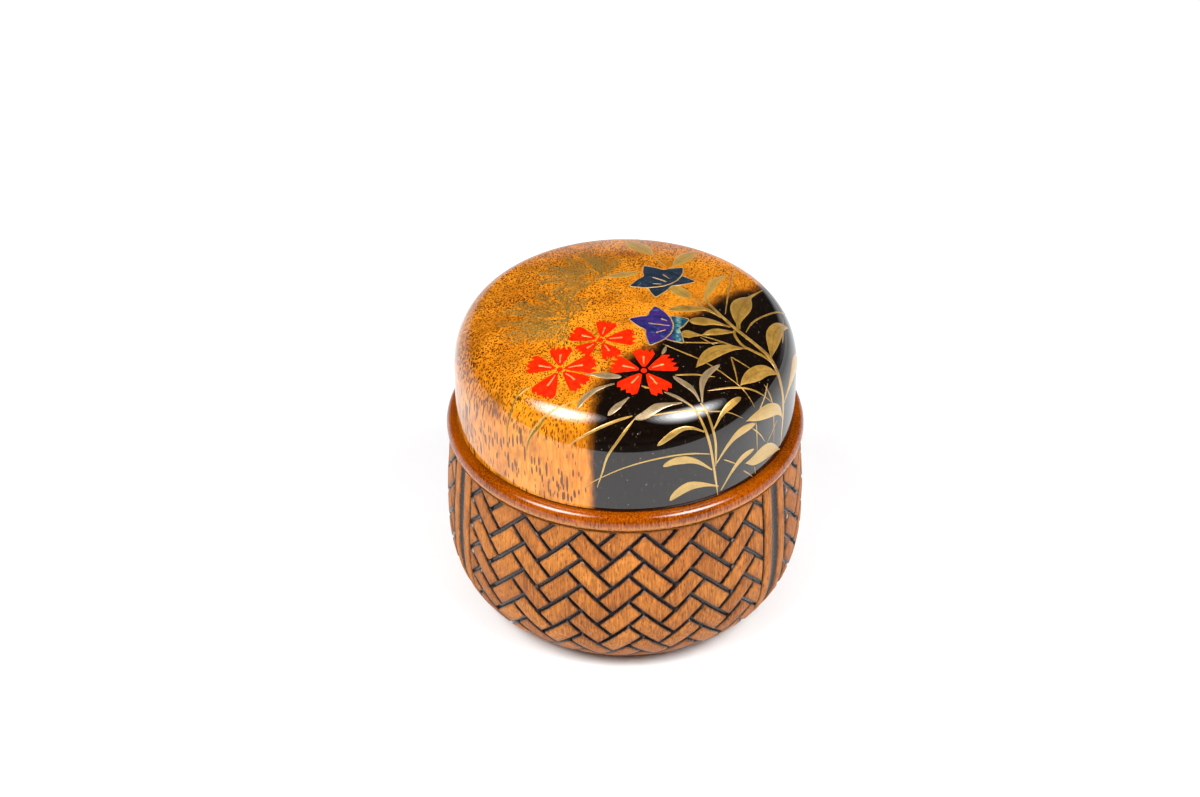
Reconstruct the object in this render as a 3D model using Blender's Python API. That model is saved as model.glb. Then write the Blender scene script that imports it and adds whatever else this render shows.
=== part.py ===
"""Lidded tea caddy of turned wood: a carved vessel and a lacquered lid with shell inlays.

The vessel and the lid are each turned from one block. The lid drops over a thin neck that
stands up inside the vessel's rim, and lifts straight off it. Two bellflowers of thin shell
are let into the lid's top, each cut in two pieces that lie in one shallow pocket.

Metres, +Z up. The origin is on the floor at the axis of turning, and the front faces -Y.
"""

import math

import bmesh
import bpy

MM = 0.001

# ---- driving dimensions ---------------------------------------------------------------
SEGMENTS = 64                  # sides of every turned surface
CLEARANCE = 0.30 * MM          # gap between pieces that touch on the real caddy

LID_TOP_Z = 65.0 * MM          # overall height
SEAT_Z = 40.5 * MM             # shoulder that the lid rests on
RIM_BOTTOM_Z = 36.8 * MM       # underside of the rim bead
BELLY_Z = 23.0 * MM            # widest level of the vessel

BELLY_RADIUS = 34.5 * MM
NECK_RADIUS = 33.7 * MM        # carved wall just below the rim bead
RIM_RADIUS = 34.3 * MM
RIM_STAND_OUT = 1.4 * MM       # how far the rim bead is rounded outwards
RIM_GROOVE = 0.35 * MM         # fine turned groove under the bead
FOOT_RADIUS = 24.0 * MM
FOOT_RING_WIDTH = 3.5 * MM
FOOT_RECESS = 0.8 * MM

LIP_RADIUS = 29.85 * MM        # outside of the neck that enters the lid
LIP_HEIGHT = 7.0 * MM
LIP_THICKNESS = 1.9 * MM
CAVITY_BELLY_RADIUS = 30.6 * MM
CAVITY_FLOOR_Z = 4.6 * MM
CAVITY_FLOOR_RADIUS = 16.0 * MM
CAVITY_BELLY_Z = 21.0 * MM

LID_RADIUS = 32.6 * MM
LID_EDGE_RADIUS = 32.4 * MM    # at the lower edge, a little under the lid's widest level
DOME_RADIUS = 103.0 * MM       # arc across the lid's top
SHOULDER_WIDTH = 6.2 * MM      # half axes of the elliptical turn from top to side
SHOULDER_HEIGHT = 9.0 * MM
LID_TOP_THICKNESS = 3.6 * MM
EDGE_ROUND = 0.35 * MM

SHELL_THICKNESS = 0.50 * MM
SPLIT_WIDTH = 0.40 * MM        # strip between the two pieces of one flower
NOTCH_REACH = 0.74             # notch between petals, as a share of the way to the tips' chord
PETAL_SWELL = 0.10             # how far a petal's edge bows out, as a share of its length

# Petal tips of the two flowers, seen from above, counter-clockwise from the tip that starts
# the two front petals (the lip of the bell). Millimetres from the lid's axis.
UPPER_FLOWER_TIPS = ((5.6, 2.7), (13.2, 9.5), (10.9, 14.7), (3.5, 14.5), (0.8, 6.3))
LOWER_FLOWER_TIPS = ((10.7, -11.0), (11.8, -3.9), (5.5, -0.5), (0.7, -4.8), (4.5, -12.2))
LIP_PETALS = 2


# ---- materials ------------------------------------------------------------------------
def material(name, colour, roughness, metallic=0.0):
    """A plain Principled material."""
    mat = bpy.data.materials.new(name)
    mat.use_nodes = True
    shader = mat.node_tree.nodes["Principled BSDF"]
    shader.inputs["Base Color"].default_value = (*colour, 1.0)
    shader.inputs["Roughness"].default_value = roughness
    shader.inputs["Metallic"].default_value = metallic
    mat.diffuse_color = (*colour, 1.0)
    return mat


# ---- profiles: lists of (radius, height) ----------------------------------------------
def lid_join_angle():
    """Ellipse angle at which the shoulder is tangent to the dome."""
    centre_radius = LID_RADIUS - SHOULDER_WIDTH
    low, high = 0.001, 1.5
    for _ in range(60):
        angle = (low + high) / 2
        slope = math.atan(SHOULDER_HEIGHT / SHOULDER_WIDTH * math.tan(angle))
        ellipse_radius = centre_radius + SHOULDER_WIDTH * math.sin(angle)
        if ellipse_radius > DOME_RADIUS * math.sin(slope):
            low = angle
        else:
            high = angle
    return angle, slope


def dome_height(radius):
    """Height of the lid's top surface at a radius inside the shoulder."""
    return LID_TOP_Z - DOME_RADIUS + math.sqrt(DOME_RADIUS ** 2 - radius ** 2)


def lid_outside():
    """Lid's outer line, from the axis down to its lower edge."""
    join, slope = lid_join_angle()
    dome_steps, shoulder_steps, side_steps = 7, 8, 3
    join_z = dome_height(DOME_RADIUS * math.sin(slope))
    centre_z = join_z - SHOULDER_HEIGHT * math.cos(join)
    points = []
    for i in range(dome_steps):
        angle = slope * i / dome_steps
        points.append((DOME_RADIUS * math.sin(angle), dome_height(DOME_RADIUS * math.sin(angle))))
    for i in range(shoulder_steps + 1):
        angle = join + (math.pi / 2 - join) * i / shoulder_steps
        radius = LID_RADIUS - SHOULDER_WIDTH * (1 - math.sin(angle))
        points.append((radius, centre_z + SHOULDER_HEIGHT * math.cos(angle)))
    edge_z = SEAT_Z + CLEARANCE
    for i in range(1, side_steps + 1):
        share = i / side_steps
        radius = LID_RADIUS - (LID_RADIUS - LID_EDGE_RADIUS) * share ** 2
        points.append((radius, centre_z + (edge_z + EDGE_ROUND - centre_z) * share))
    points.append((LID_EDGE_RADIUS - EDGE_ROUND, edge_z))
    return points


def lid_inside():
    """Lid's inner line, from its lower edge up to the axis."""
    bore = LIP_RADIUS + CLEARANCE
    edge_z = SEAT_Z + CLEARANCE
    ceiling_z = LID_TOP_Z - LID_TOP_THICKNESS
    turn_z = SEAT_Z + LIP_HEIGHT + 3.0 * MM
    turn_width, ceiling_drop, steps = 7.0 * MM, 1.6 * MM, 5
    turn_height = ceiling_z - ceiling_drop - turn_z
    points = [(bore + EDGE_ROUND, edge_z), (bore, edge_z + EDGE_ROUND)]
    for i in range(steps + 1):
        angle = math.pi / 2 * i / steps
        radius = bore - turn_width * (1 - math.cos(angle))
        points.append((radius, turn_z + turn_height * math.sin(angle)))
    points.append((0.5 * (bore - turn_width), ceiling_z - 0.3 * ceiling_drop))
    points.append((0.0, ceiling_z))
    return points


def vessel_outside():
    """Vessel's outer line, from the axis under the foot up to the seat."""
    low_steps, high_steps, bead_steps = 10, 3, 8
    recess_radius = FOOT_RADIUS - FOOT_RING_WIDTH
    points = [(0.0, FOOT_RECESS), (recess_radius - FOOT_RECESS, FOOT_RECESS), (recess_radius, 0.0)]
    for i in range(low_steps + 1):
        rise = (i / low_steps) ** 1.6
        swell = (1 - (1 - rise) ** 3.4) ** (1 / 1.2)
        points.append((FOOT_RADIUS + (BELLY_RADIUS - FOOT_RADIUS) * swell, BELLY_Z * rise))
    wall_top_z = RIM_BOTTOM_Z - RIM_GROOVE
    for i in range(1, high_steps + 1):
        share = i / high_steps
        radius = BELLY_RADIUS - (BELLY_RADIUS - NECK_RADIUS) * share ** 1.3
        points.append((radius, BELLY_Z + (wall_top_z - BELLY_Z) * share))
    points.append((NECK_RADIUS - RIM_GROOVE, wall_top_z + 0.3 * RIM_GROOVE))
    bead_radius = RIM_RADIUS - RIM_STAND_OUT
    bead_z, bead_half = (RIM_BOTTOM_Z + SEAT_Z) / 2, (SEAT_Z - RIM_BOTTOM_Z) / 2
    for i in range(bead_steps + 1):
        angle = math.pi * (i / bead_steps - 0.5)
        points.append((bead_radius + RIM_STAND_OUT * math.cos(angle), bead_z + bead_half * math.sin(angle)))
    return points


def vessel_inside():
    """Vessel's line from the seat over the neck and down the cavity to the axis."""
    lip_top = SEAT_Z + LIP_HEIGHT
    mouth = LIP_RADIUS - LIP_THICKNESS
    round_off = 0.5 * MM
    points = [
        (LIP_RADIUS, SEAT_Z),
        (LIP_RADIUS, lip_top - round_off),
        (LIP_RADIUS - round_off, lip_top),
        (mouth + round_off, lip_top),
        (mouth, lip_top - round_off),
        (mouth, SEAT_Z),
    ]
    wall_steps, floor_steps = 4, 6
    for i in range(1, wall_steps + 1):
        share = i / wall_steps
        radius = mouth + (CAVITY_BELLY_RADIUS - mouth) * math.sin(share * math.pi / 2) ** 2
        points.append((radius, SEAT_Z + (CAVITY_BELLY_Z - SEAT_Z) * share))
    for i in range(1, floor_steps + 1):
        angle = math.pi / 2 * i / floor_steps
        radius = CAVITY_FLOOR_RADIUS + (CAVITY_BELLY_RADIUS - CAVITY_FLOOR_RADIUS) * math.cos(angle)
        points.append((radius, CAVITY_BELLY_Z - (CAVITY_BELLY_Z - CAVITY_FLOOR_Z) * math.sin(angle)))
    points.append((0.0, CAVITY_FLOOR_Z))
    return points


# ---- mesh tools -----------------------------------------------------------------------
def add_object(name, mesh, mat):
    obj = bpy.data.objects.new(name, mesh)
    bpy.context.collection.objects.link(obj)
    if mat:
        mesh.materials.append(mat)
    return obj


def turned(name, outline, mat):
    """Closed solid turned from an outline that starts and ends on the axis."""
    mesh = bpy.data.meshes.new(name)
    bm = bmesh.new()
    rings = []
    for radius, height in outline:
        if radius < 1e-9:
            rings.append([bm.verts.new((0.0, 0.0, height))] * SEGMENTS)
            continue
        ring = []
        for k in range(SEGMENTS):
            angle = 2 * math.pi * k / SEGMENTS
            ring.append(bm.verts.new((radius * math.cos(angle), radius * math.sin(angle), height)))
        rings.append(ring)
    for lower, upper in zip(rings, rings[1:]):
        for k in range(SEGMENTS):
            n = (k + 1) % SEGMENTS
            corners = list(dict.fromkeys((lower[k], lower[n], upper[n], upper[k])))
            bm.faces.new(corners)
    bmesh.ops.recalc_face_normals(bm, faces=bm.faces)
    bm.to_mesh(mesh)
    bm.free()
    mesh.shade_smooth()
    mesh.set_sharp_from_angle(angle=math.radians(35))
    return add_object(name, mesh, mat)


def prism(name, outline, bottom_z, top_z):
    """Closed upright prism over a plan outline that runs counter-clockwise."""
    mesh = bpy.data.meshes.new(name)
    bm = bmesh.new()
    base = [bm.verts.new((x, y, bottom_z)) for x, y in outline]
    top = [bm.verts.new((x, y, top_z)) for x, y in outline]
    bm.faces.new(list(reversed(base)))
    bm.faces.new(top)
    for i in range(len(outline)):
        n = (i + 1) % len(outline)
        bm.faces.new((base[i], base[n], top[n], top[i]))
    bm.to_mesh(mesh)
    bm.free()
    obj = add_object(name, mesh, None)
    obj.hide_render = True
    obj.display_type = "WIRE"
    return obj


def add_boolean(obj, cutter, operation):
    cut = obj.modifiers.new(operation.lower(), "BOOLEAN")
    cut.operation = operation
    cut.solver = "EXACT"
    cut.object = cutter


# ---- flower outlines ------------------------------------------------------------------
def between(a, b, share):
    return (a[0] + (b[0] - a[0]) * share, a[1] + (b[1] - a[1]) * share)


def bowed(a, b, bow):
    """Middle of the line from a to b, moved to its right by bow times its length."""
    x, y = between(a, b, 0.5)
    return (x + bow * (b[1] - a[1]), y - bow * (b[0] - a[0]))


def petals(tips, first, count):
    """Outline points of some petals of a flower, from notch to notch."""
    centre = (sum(x for x, _ in tips) / len(tips), sum(y for _, y in tips) / len(tips))
    points = []
    for i in range(first, first + count):
        before, tip, after = (tips[(i + k) % len(tips)] for k in (-1, 0, 1))
        left = between(centre, between(before, tip, 0.5), NOTCH_REACH)
        right = between(centre, between(tip, after, 0.5), NOTCH_REACH)
        points += [left, bowed(left, tip, PETAL_SWELL), tip, bowed(tip, right, PETAL_SWELL)]
    return points + [right]


def split_line(start, end, offset):
    """Arc from start to end across a flower, bowed to the right and moved to the left by offset."""
    steps, bow = 6, 0.16
    chord = math.dist(start, end)
    along = ((end[0] - start[0]) / chord, (end[1] - start[1]) / chord)
    points = []
    for i in range(steps + 1):
        share = i / steps
        side = bow * chord * 4 * share * (1 - share) - offset
        x, y = between(start, end, share)
        points.append((x + side * along[1], y - side * along[0]))
    return points


def shrunk(outline, amount):
    """Outline moved inwards by amount (outwards where amount is negative)."""
    moved = []
    for i, point in enumerate(outline):
        before, after = outline[i - 1], outline[(i + 1) % len(outline)]
        d1, d2 = math.dist(before, point), math.dist(point, after)
        n1 = ((before[1] - point[1]) / d1, (point[0] - before[0]) / d1)
        n2 = ((point[1] - after[1]) / d2, (after[0] - point[0]) / d2)
        reach = amount / max(0.35, 1 + n1[0] * n2[0] + n1[1] * n2[1])
        moved.append((point[0] + reach * (n1[0] + n2[0]), point[1] + reach * (n1[1] + n2[1])))
    return moved


def flower(name, tips_mm, lid, mat):
    """Two shell pieces of one bellflower, and the pocket that they lie in."""
    tips = [(x * MM, y * MM) for x, y in tips_mm]
    whole = petals(tips, 0, len(tips))[:-1]
    pocket = prism(name + "_pocket", shrunk(whole, -CLEARANCE), 0.0, 2 * LID_TOP_Z)
    below_pocket = SHELL_THICKNESS + CLEARANCE
    floor = turned(name + "_pocket_floor", layer(below_pocket, above=2 * MM), None)
    floor.hide_render = True
    floor.display_type = "WIRE"
    add_boolean(floor, pocket, "INTERSECT")
    add_boolean(lid, floor, "DIFFERENCE")

    lip = petals(tips, 0, LIP_PETALS)
    back = petals(tips, LIP_PETALS, len(tips) - LIP_PETALS)
    half_split = SPLIT_WIDTH / 2
    lip_outline = lip + split_line(lip[0], lip[-1], -half_split)[1:-1][::-1]
    back_outline = back + split_line(lip[0], lip[-1], half_split)[1:-1]
    for part, outline in (("lip", lip_outline), ("petals", back_outline)):
        piece = turned(name + "_" + part, layer(SHELL_THICKNESS), mat)
        trim = 0.02 * MM
        cutter = prism(piece.name + "_outline", shrunk(outline, trim), 0.0, 2 * LID_TOP_Z)
        add_boolean(piece, cutter, "INTERSECT")


def layer(depth, above=0.0):
    """Layer of the dome's surface, from depth below it to a height above it."""
    reach, steps = 20.0 * MM, 5
    top, bottom = [], []
    for i in range(steps + 1):
        radius = reach * i / steps
        top.append((radius, dome_height(radius) + above))
        bottom.append((radius, dome_height(radius) - depth))
    return top + bottom[::-1]


# ---- the caddy ------------------------------------------------------------------------
def main():
    for obj in list(bpy.data.objects):
        bpy.data.objects.remove(obj, do_unlink=True)
    carved_wood = material("carved_wood", (0.46, 0.20, 0.06), 0.42)
    lacquer = material("amber_lacquer", (0.78, 0.32, 0.03), 0.15)
    shell = material("blue_shell", (0.03, 0.08, 0.20), 0.12)

    turned("caddy_body", vessel_outside() + vessel_inside(), carved_wood)

    lid_axis = bpy.data.objects.new("lid_axis", None)
    bpy.context.collection.objects.link(lid_axis)
    lid = turned("caddy_lid", lid_outside() + lid_inside(), lacquer)
    flower("upper_bellflower", UPPER_FLOWER_TIPS, lid, shell)
    flower("lower_bellflower", LOWER_FLOWER_TIPS, lid, shell)
    for obj in bpy.data.objects:
        if obj.type == "MESH" and obj.name != "caddy_body":
            obj.parent = lid_axis


main()
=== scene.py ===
"""Looks of the lidded tea caddy: carved herringbone vessel and a lacquered, painted lid.

Both turned surfaces are worked on unrolled. On the vessel's wall a point is (angle from the
front in degrees, arc length from the foot in mm). On the lid it is (u, v) in mm: its length
is the arc length from the middle of the lid's top, +u points to +X and +v to the back.
Lengths are in millimetres here and become metres where a mesh is made.
"""

import math

import bmesh
import bpy
import numpy as np
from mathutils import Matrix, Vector
from mathutils.geometry import delaunay_2d_cdt


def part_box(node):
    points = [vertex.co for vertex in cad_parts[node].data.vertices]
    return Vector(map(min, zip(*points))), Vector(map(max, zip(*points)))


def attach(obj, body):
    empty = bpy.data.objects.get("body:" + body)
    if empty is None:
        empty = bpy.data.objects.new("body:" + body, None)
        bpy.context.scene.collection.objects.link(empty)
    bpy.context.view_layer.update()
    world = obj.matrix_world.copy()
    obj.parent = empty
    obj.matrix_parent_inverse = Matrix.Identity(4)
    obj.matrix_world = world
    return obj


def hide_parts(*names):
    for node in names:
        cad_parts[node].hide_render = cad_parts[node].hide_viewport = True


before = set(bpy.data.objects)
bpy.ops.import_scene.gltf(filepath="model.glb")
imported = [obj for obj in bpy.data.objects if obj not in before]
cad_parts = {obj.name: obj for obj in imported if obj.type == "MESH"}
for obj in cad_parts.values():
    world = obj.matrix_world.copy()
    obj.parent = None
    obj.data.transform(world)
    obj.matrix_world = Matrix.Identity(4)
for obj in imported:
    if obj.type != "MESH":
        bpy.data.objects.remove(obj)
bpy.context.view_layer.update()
MM = 0.001

# ---- sizes from the frame ---------------------------------------------------------------
LID_LOW, LID_HIGH = (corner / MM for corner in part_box("caddy_lid"))
BODY_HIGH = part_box("caddy_body")[1] / MM
LID_TOP_Z = LID_HIGH.z
LID_RADIUS = LID_HIGH.x
LID_EDGE_Z = LID_LOW.z
BELLY_RADIUS = BODY_HIGH.x
LIP_TOP_Z = BODY_HIGH.z
CLEARANCE = 0.3
SEAT_Z = LID_EDGE_Z - CLEARANCE

# ---- turned profiles --------------------------------------------------------------------
LID_EDGE_RADIUS = LID_RADIUS - 0.2
DOME_RADIUS = 103.0
SHOULDER_WIDTH = 6.2
SHOULDER_HEIGHT = 9.0
LID_TOP_THICKNESS = 3.6
LID_CORNER = 7.0               # half width of the turn from the lid's bore to its ceiling
LID_CEILING_RISE = 1.6         # how much higher the ceiling is in the middle
BELLY_Z = 23.0
NECK_RADIUS = BELLY_RADIUS - 0.8
RIM_RADIUS = BELLY_RADIUS - 0.2
RIM_BOTTOM_Z = SEAT_Z - 3.7
RIM_STAND_OUT = 1.4
RIM_GROOVE = 0.35              # height of the fine groove under the rim bead
FOOT_RADIUS = 24.0
FOOT_RING_WIDTH = 3.5
FOOT_RECESS = 0.8
LIP_RADIUS = 29.85
LIP_THICKNESS = 1.9
CAVITY_BELLY_RADIUS = 30.6
CAVITY_BELLY_Z = 21.0
CAVITY_FLOOR_Z = 4.6
CAVITY_FLOOR_RADIUS = 16.0
LID_GAP = 0.1                  # how far the lid's edge stays above the seat
SEGMENTS = 288                 # round the vessel
LID_SEGMENTS = 360

# ---- carving ----------------------------------------------------------------------------
TILE_TURN = 5.0                # half a tile's length: degrees round the wall, mm up it
TILE_RISE = 3.075
PATTERN_ANGLE = 8.9
PATTERN_HEIGHT = 29.65
GROOVE_DEPTH = 0.75
TILE_CORNER = 0.55
CARVING_BOTTOM = 3.2           # arc length at which the carving starts above the foot
CARVING_FADE = 1.4             # and over which it reaches its full depth
BANDS = ((-65.9, 0.0), (56.9, 2.6), (176.0, 0.0))   # angle, shift of the panel after it
BAND_HALF = 3.75               # fine line at the edge of a plain band
BAND_GAP = 0.05                # strip between a band and the panels beside it
# Half a band from its middle out: place, height, and how far it is out of the black.
BAND_SECTION = np.array([[0, 0.70, 0.98, 1.16, 1.40, 2.35, 3.25, 3.46, 3.58, BAND_HALF],
                         [-0.8, -0.77, -0.6, -0.16, 0, 0, 0, -0.16, -0.7, -0.75],
                         [0, 0, 0.1, 0.5, 1, 1, 1, 0.55, 0.1, 0]])
GROOVE_LINES = (0.20, 0.33, 0.56)   # distances from a groove's middle: floor, wall, rounded edge
TILE_WIDTH = math.hypot(math.radians(TILE_TURN) * BELLY_RADIUS, TILE_RISE)
DEGREES_PER_MM = 1 / (math.radians(1) * BELLY_RADIUS)
TILE_UNEVEN = 0.035            # usual difference in height between tiles
TILE_TILT = 0.045              # and across one, from its middle line
TILE_LOOKS = 4096              # length of the tables of random tile heights, tilts and tones

RNG = np.random.default_rng(7)


# ---- surfaces ---------------------------------------------------------------------------
def lengths_along(points):
    """Distance from the first point to each point of a line, measured along it."""
    return np.concatenate([[0.0], np.cumsum(np.hypot(*np.diff(points, axis=0).T))])


class Turned:
    """A turned surface that is addressed by angle, arc length and height above it."""

    def __init__(self, outline, outward):
        self.r, self.z = np.array(outline, float).T
        self.s = lengths_along(np.array(outline, float))
        along_r = np.gradient(self.r, self.s)
        along_z = np.gradient(self.z, self.s)
        size = np.hypot(along_r, along_z)
        self.nr, self.nz = -outward * along_z / size, outward * along_r / size

    def at(self, angle_deg, s, lift=0.0):
        angle = np.radians(angle_deg)
        r = np.interp(s, self.s, self.r) + lift * np.interp(s, self.s, self.nr)
        z = np.interp(s, self.s, self.z) + lift * np.interp(s, self.s, self.nz)
        return np.stack([r * np.sin(angle), -r * np.cos(angle), z], -1)

    def over(self, uv, lift=0.0):
        """Points above flat (u, v) positions on the lid."""
        uv = np.asarray(uv, float)
        angle = np.degrees(np.arctan2(uv[..., 0], -uv[..., 1]))
        return self.at(angle, np.hypot(uv[..., 0], uv[..., 1]), lift)


def smooth(low, high, x):
    """0 up to low, 1 from high on, and a smooth rise between."""
    t = np.clip((np.asarray(x, float) - low) / (high - low), 0, 1)
    return t * t * (3 - 2 * t)


def shoulder_join():
    """Ellipse angle and dome slope at which the lid's shoulder is tangent to its dome."""
    angles = np.linspace(0.001, 1.5, 20000)
    slopes = np.arctan(SHOULDER_HEIGHT / SHOULDER_WIDTH * np.tan(angles))
    reach = LID_RADIUS - SHOULDER_WIDTH * (1 - np.sin(angles))
    i = np.argmin(abs(reach - DOME_RADIUS * np.sin(slopes)))
    return angles[i], slopes[i]


def lid_outline(dome_steps, shoulder_steps, side_steps):
    """Lid's outer line, from the axis down to its lower edge."""
    join, slope = shoulder_join()
    dome = DOME_RADIUS * np.sin(slope * np.arange(dome_steps) / dome_steps)
    drop = DOME_RADIUS - np.sqrt(DOME_RADIUS ** 2 - dome ** 2)
    points = list(zip(dome, LID_TOP_Z - drop))
    join_z = LID_TOP_Z - DOME_RADIUS * (1 - math.cos(slope))
    centre_z = join_z - SHOULDER_HEIGHT * math.cos(join)
    for angle in np.linspace(join, math.pi / 2, shoulder_steps + 1):
        radius = LID_RADIUS - SHOULDER_WIDTH * (1 - math.sin(angle))
        points.append((radius, centre_z + SHOULDER_HEIGHT * math.cos(angle)))
    low_z = SEAT_Z + LID_GAP + 0.35
    for share in np.linspace(0, 1, side_steps + 1)[1:]:
        radius = LID_RADIUS - (LID_RADIUS - LID_EDGE_RADIUS) * share ** 2
        points.append((radius, centre_z + (low_z - centre_z) * share))
    return points


def ellipse(x, y, wide, high, angles):
    """Points of an outline on an ellipse round (x, y)."""
    return [(x + wide * math.cos(angle), y + high * math.sin(angle)) for angle in angles]


def lid_inside():
    """Lid's rounded lower edge and inner line, up to the axis."""
    bore = LIP_RADIUS + CLEARANCE
    edge_z = SEAT_Z + LID_GAP
    ceiling_z = LID_TOP_Z - LID_TOP_THICKNESS
    turn_z = LIP_TOP_Z + 3.0
    points = [(LID_EDGE_RADIUS - 0.1, edge_z + 0.1), (LID_EDGE_RADIUS - 0.35, edge_z)]
    points += [(bore + 0.35, edge_z), (bore + 0.1, edge_z + 0.1), (bore, edge_z + 0.35)]
    points += ellipse(bore - LID_CORNER, turn_z, LID_CORNER, ceiling_z - LID_CEILING_RISE - turn_z,
                      np.linspace(0, math.pi / 2, 13))
    for share in np.linspace(1, 0, 7)[1:]:
        points.append(((bore - LID_CORNER) * share, ceiling_z - LID_CEILING_RISE * share ** 2))
    return points


def wall_outline(steps=120):
    """Vessel's outer line from the foot to the groove under the rim bead."""
    rise = np.linspace(0, 1, steps) ** 1.6
    swell = (1 - (1 - rise) ** 3.4) ** (1 / 1.2)
    low = list(zip(FOOT_RADIUS + (BELLY_RADIUS - FOOT_RADIUS) * swell, BELLY_Z * rise))
    share = np.linspace(0, 1, steps)[1:]
    radius = BELLY_RADIUS - (BELLY_RADIUS - NECK_RADIUS) * share ** 1.3
    return low + list(zip(radius, BELLY_Z + (RIM_BOTTOM_Z - RIM_GROOVE - BELLY_Z) * share))


LID = Turned(lid_outline(200, 120, 60), 1)
WALL = Turned(wall_outline(), -1)
CARVING_TOP = WALL.s[-1] - 0.12


# ---- mesh tools -------------------------------------------------------------------------
class Shape:
    """Vertices in mm, faces and per-vertex values, gathered before they become a mesh."""

    def __init__(self):
        self.points, self.faces, self.material, self.values = [], [], [], {}
        self.count = 0

    def add(self, points, faces, material=0, **values):
        points = np.asarray(points, float).reshape(-1, 3)
        first = self.count
        self.points.append(points)
        self.faces += [tuple(first + i for i in face) for face in faces]
        self.material += [material] * len(faces)
        for name, value in values.items():
            whole = np.broadcast_to(np.asarray(value, float), len(points))
            self.values.setdefault(name, []).append((first, whole))
        self.count += len(points)
        return first

    def join(self, faces, material=0):
        self.faces += [tuple(int(i) for i in face) for face in faces]
        self.material += [material] * len(faces)

    def build(self, name, materials):
        mesh = bpy.data.meshes.new(name)
        mesh.from_pydata(np.concatenate(self.points) * MM, [], self.faces)
        mesh.polygons.foreach_set("material_index", self.material)
        for key, parts in self.values.items():
            data = np.zeros(self.count, np.float32)
            for first, whole in parts:
                data[first:first + len(whole)] = whole
            mesh.attributes.new(key, "FLOAT", "POINT").data.foreach_set("value", data)
        for material in materials:
            mesh.materials.append(material)
        mesh.shade_smooth()
        mesh.set_sharp_from_angle(angle=math.radians(50))
        mesh.validate()
        obj = bpy.data.objects.new(name, mesh)
        bpy.context.scene.collection.objects.link(obj)
        return obj


def ring(radius, z, segments):
    angle = 2 * np.pi * np.arange(segments) / segments
    return np.stack([radius * np.sin(angle), -radius * np.cos(angle), np.full(segments, z)], -1)


def lathe(shape, outline, segments, material=0, **values):
    """Adds a ring for each point of an outline, or one vertex on the axis; returns the rings.

    A value is one number for all rings, or a list with an entry for each ring.
    """
    rings = []
    for k, (radius, z) in enumerate(outline):
        share = {key: value if isinstance(value, float) else value[k]
                 for key, value in values.items()}
        if radius < 1e-6:
            first = shape.add([(0, 0, z)], [], **share)
            rings.append(np.full(segments, first))
        else:
            first = shape.add(ring(radius, z, segments), [], **share)
            rings.append(first + np.arange(segments))
    for a, b in zip(rings, rings[1:]):
        bridge(shape, a, b, material)
    return rings


def bridge(shape, a, b, material=0):
    """Faces between two rings of equal count, or between a ring and a point."""
    n = len(a)
    for k in range(n):
        m = (k + 1) % n
        corners = tuple(dict.fromkeys((int(a[k]), int(a[m]), int(b[m]), int(b[k]))))
        shape.join([corners], material)


def zip_rows(shape, a, a_at, b, b_at, material=0):
    """Triangles between two rows of vertices, each sorted along the seam between them."""
    i, j, faces = 0, 0, []
    while i < len(a) - 1 or j < len(b) - 1:
        step_a = j == len(b) - 1 or (i < len(a) - 1 and a_at[i + 1] <= b_at[j + 1])
        if step_a:
            faces.append((a[i], a[i + 1], b[j]))
            i += 1
        else:
            faces.append((a[i], b[j + 1], b[j]))
            j += 1
    shape.join(faces, material)


# ---- carved wall ------------------------------------------------------------------------
def tile_at(angle, s, shift):
    """Distance in mm to the edge of the herringbone tile at each place, the tile's number and
    the place across it.

    p and q count half tile widths along the two diagonals. A falling tile is 2 of them wide in
    p and 4 long in q, a rising one the other way round, and the layout repeats after 8.
    """
    x = (angle - PATTERN_ANGLE) / TILE_TURN
    y = (s - PATTERN_HEIGHT - shift) / TILE_RISE
    p, q = x + y, x - y
    scale = TILE_WIDTH / 2
    m = 2 * np.round(p / 2)
    q_off = (q + m + 4) % 8 - 4
    falling = abs(q_off) <= 2
    n = 2 * np.round((q - 1) / 2) + 1
    p_off = (p + n + 8) % 8 - 4
    short = np.where(falling, abs(p - m), abs(q - n))
    long = np.where(falling, abs(q_off), abs(p_off))
    corner = TILE_CORNER / scale
    a, b = short - (1 - corner), long - (2 - corner)
    outside = np.hypot(np.maximum(a, 0), np.maximum(b, 0)) + np.minimum(np.maximum(a, b), 0)
    inward = (corner - outside) * scale
    across = np.where(falling, p - m, q - n)
    centre = np.where(falling, np.round(m + 3 * (q - q_off)), np.round(n + 5 * (p - p_off)) + 500)
    return inward, centre, across


def groove(distance):
    """Height of the surface at a distance from a groove's middle line."""
    return np.interp(distance, (0, *GROOVE_LINES), (-1.0, -1.0, -0.22, 0.0)) * GROOVE_DEPTH


def carving_depth(s):
    """Share of the carving's depth at an arc length above the foot."""
    start = smooth(CARVING_BOTTOM, CARVING_BOTTOM + CARVING_FADE, s)
    return start * (0.5 + 0.5 * smooth(CARVING_BOTTOM, 5 * CARVING_BOTTOM, s))


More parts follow.
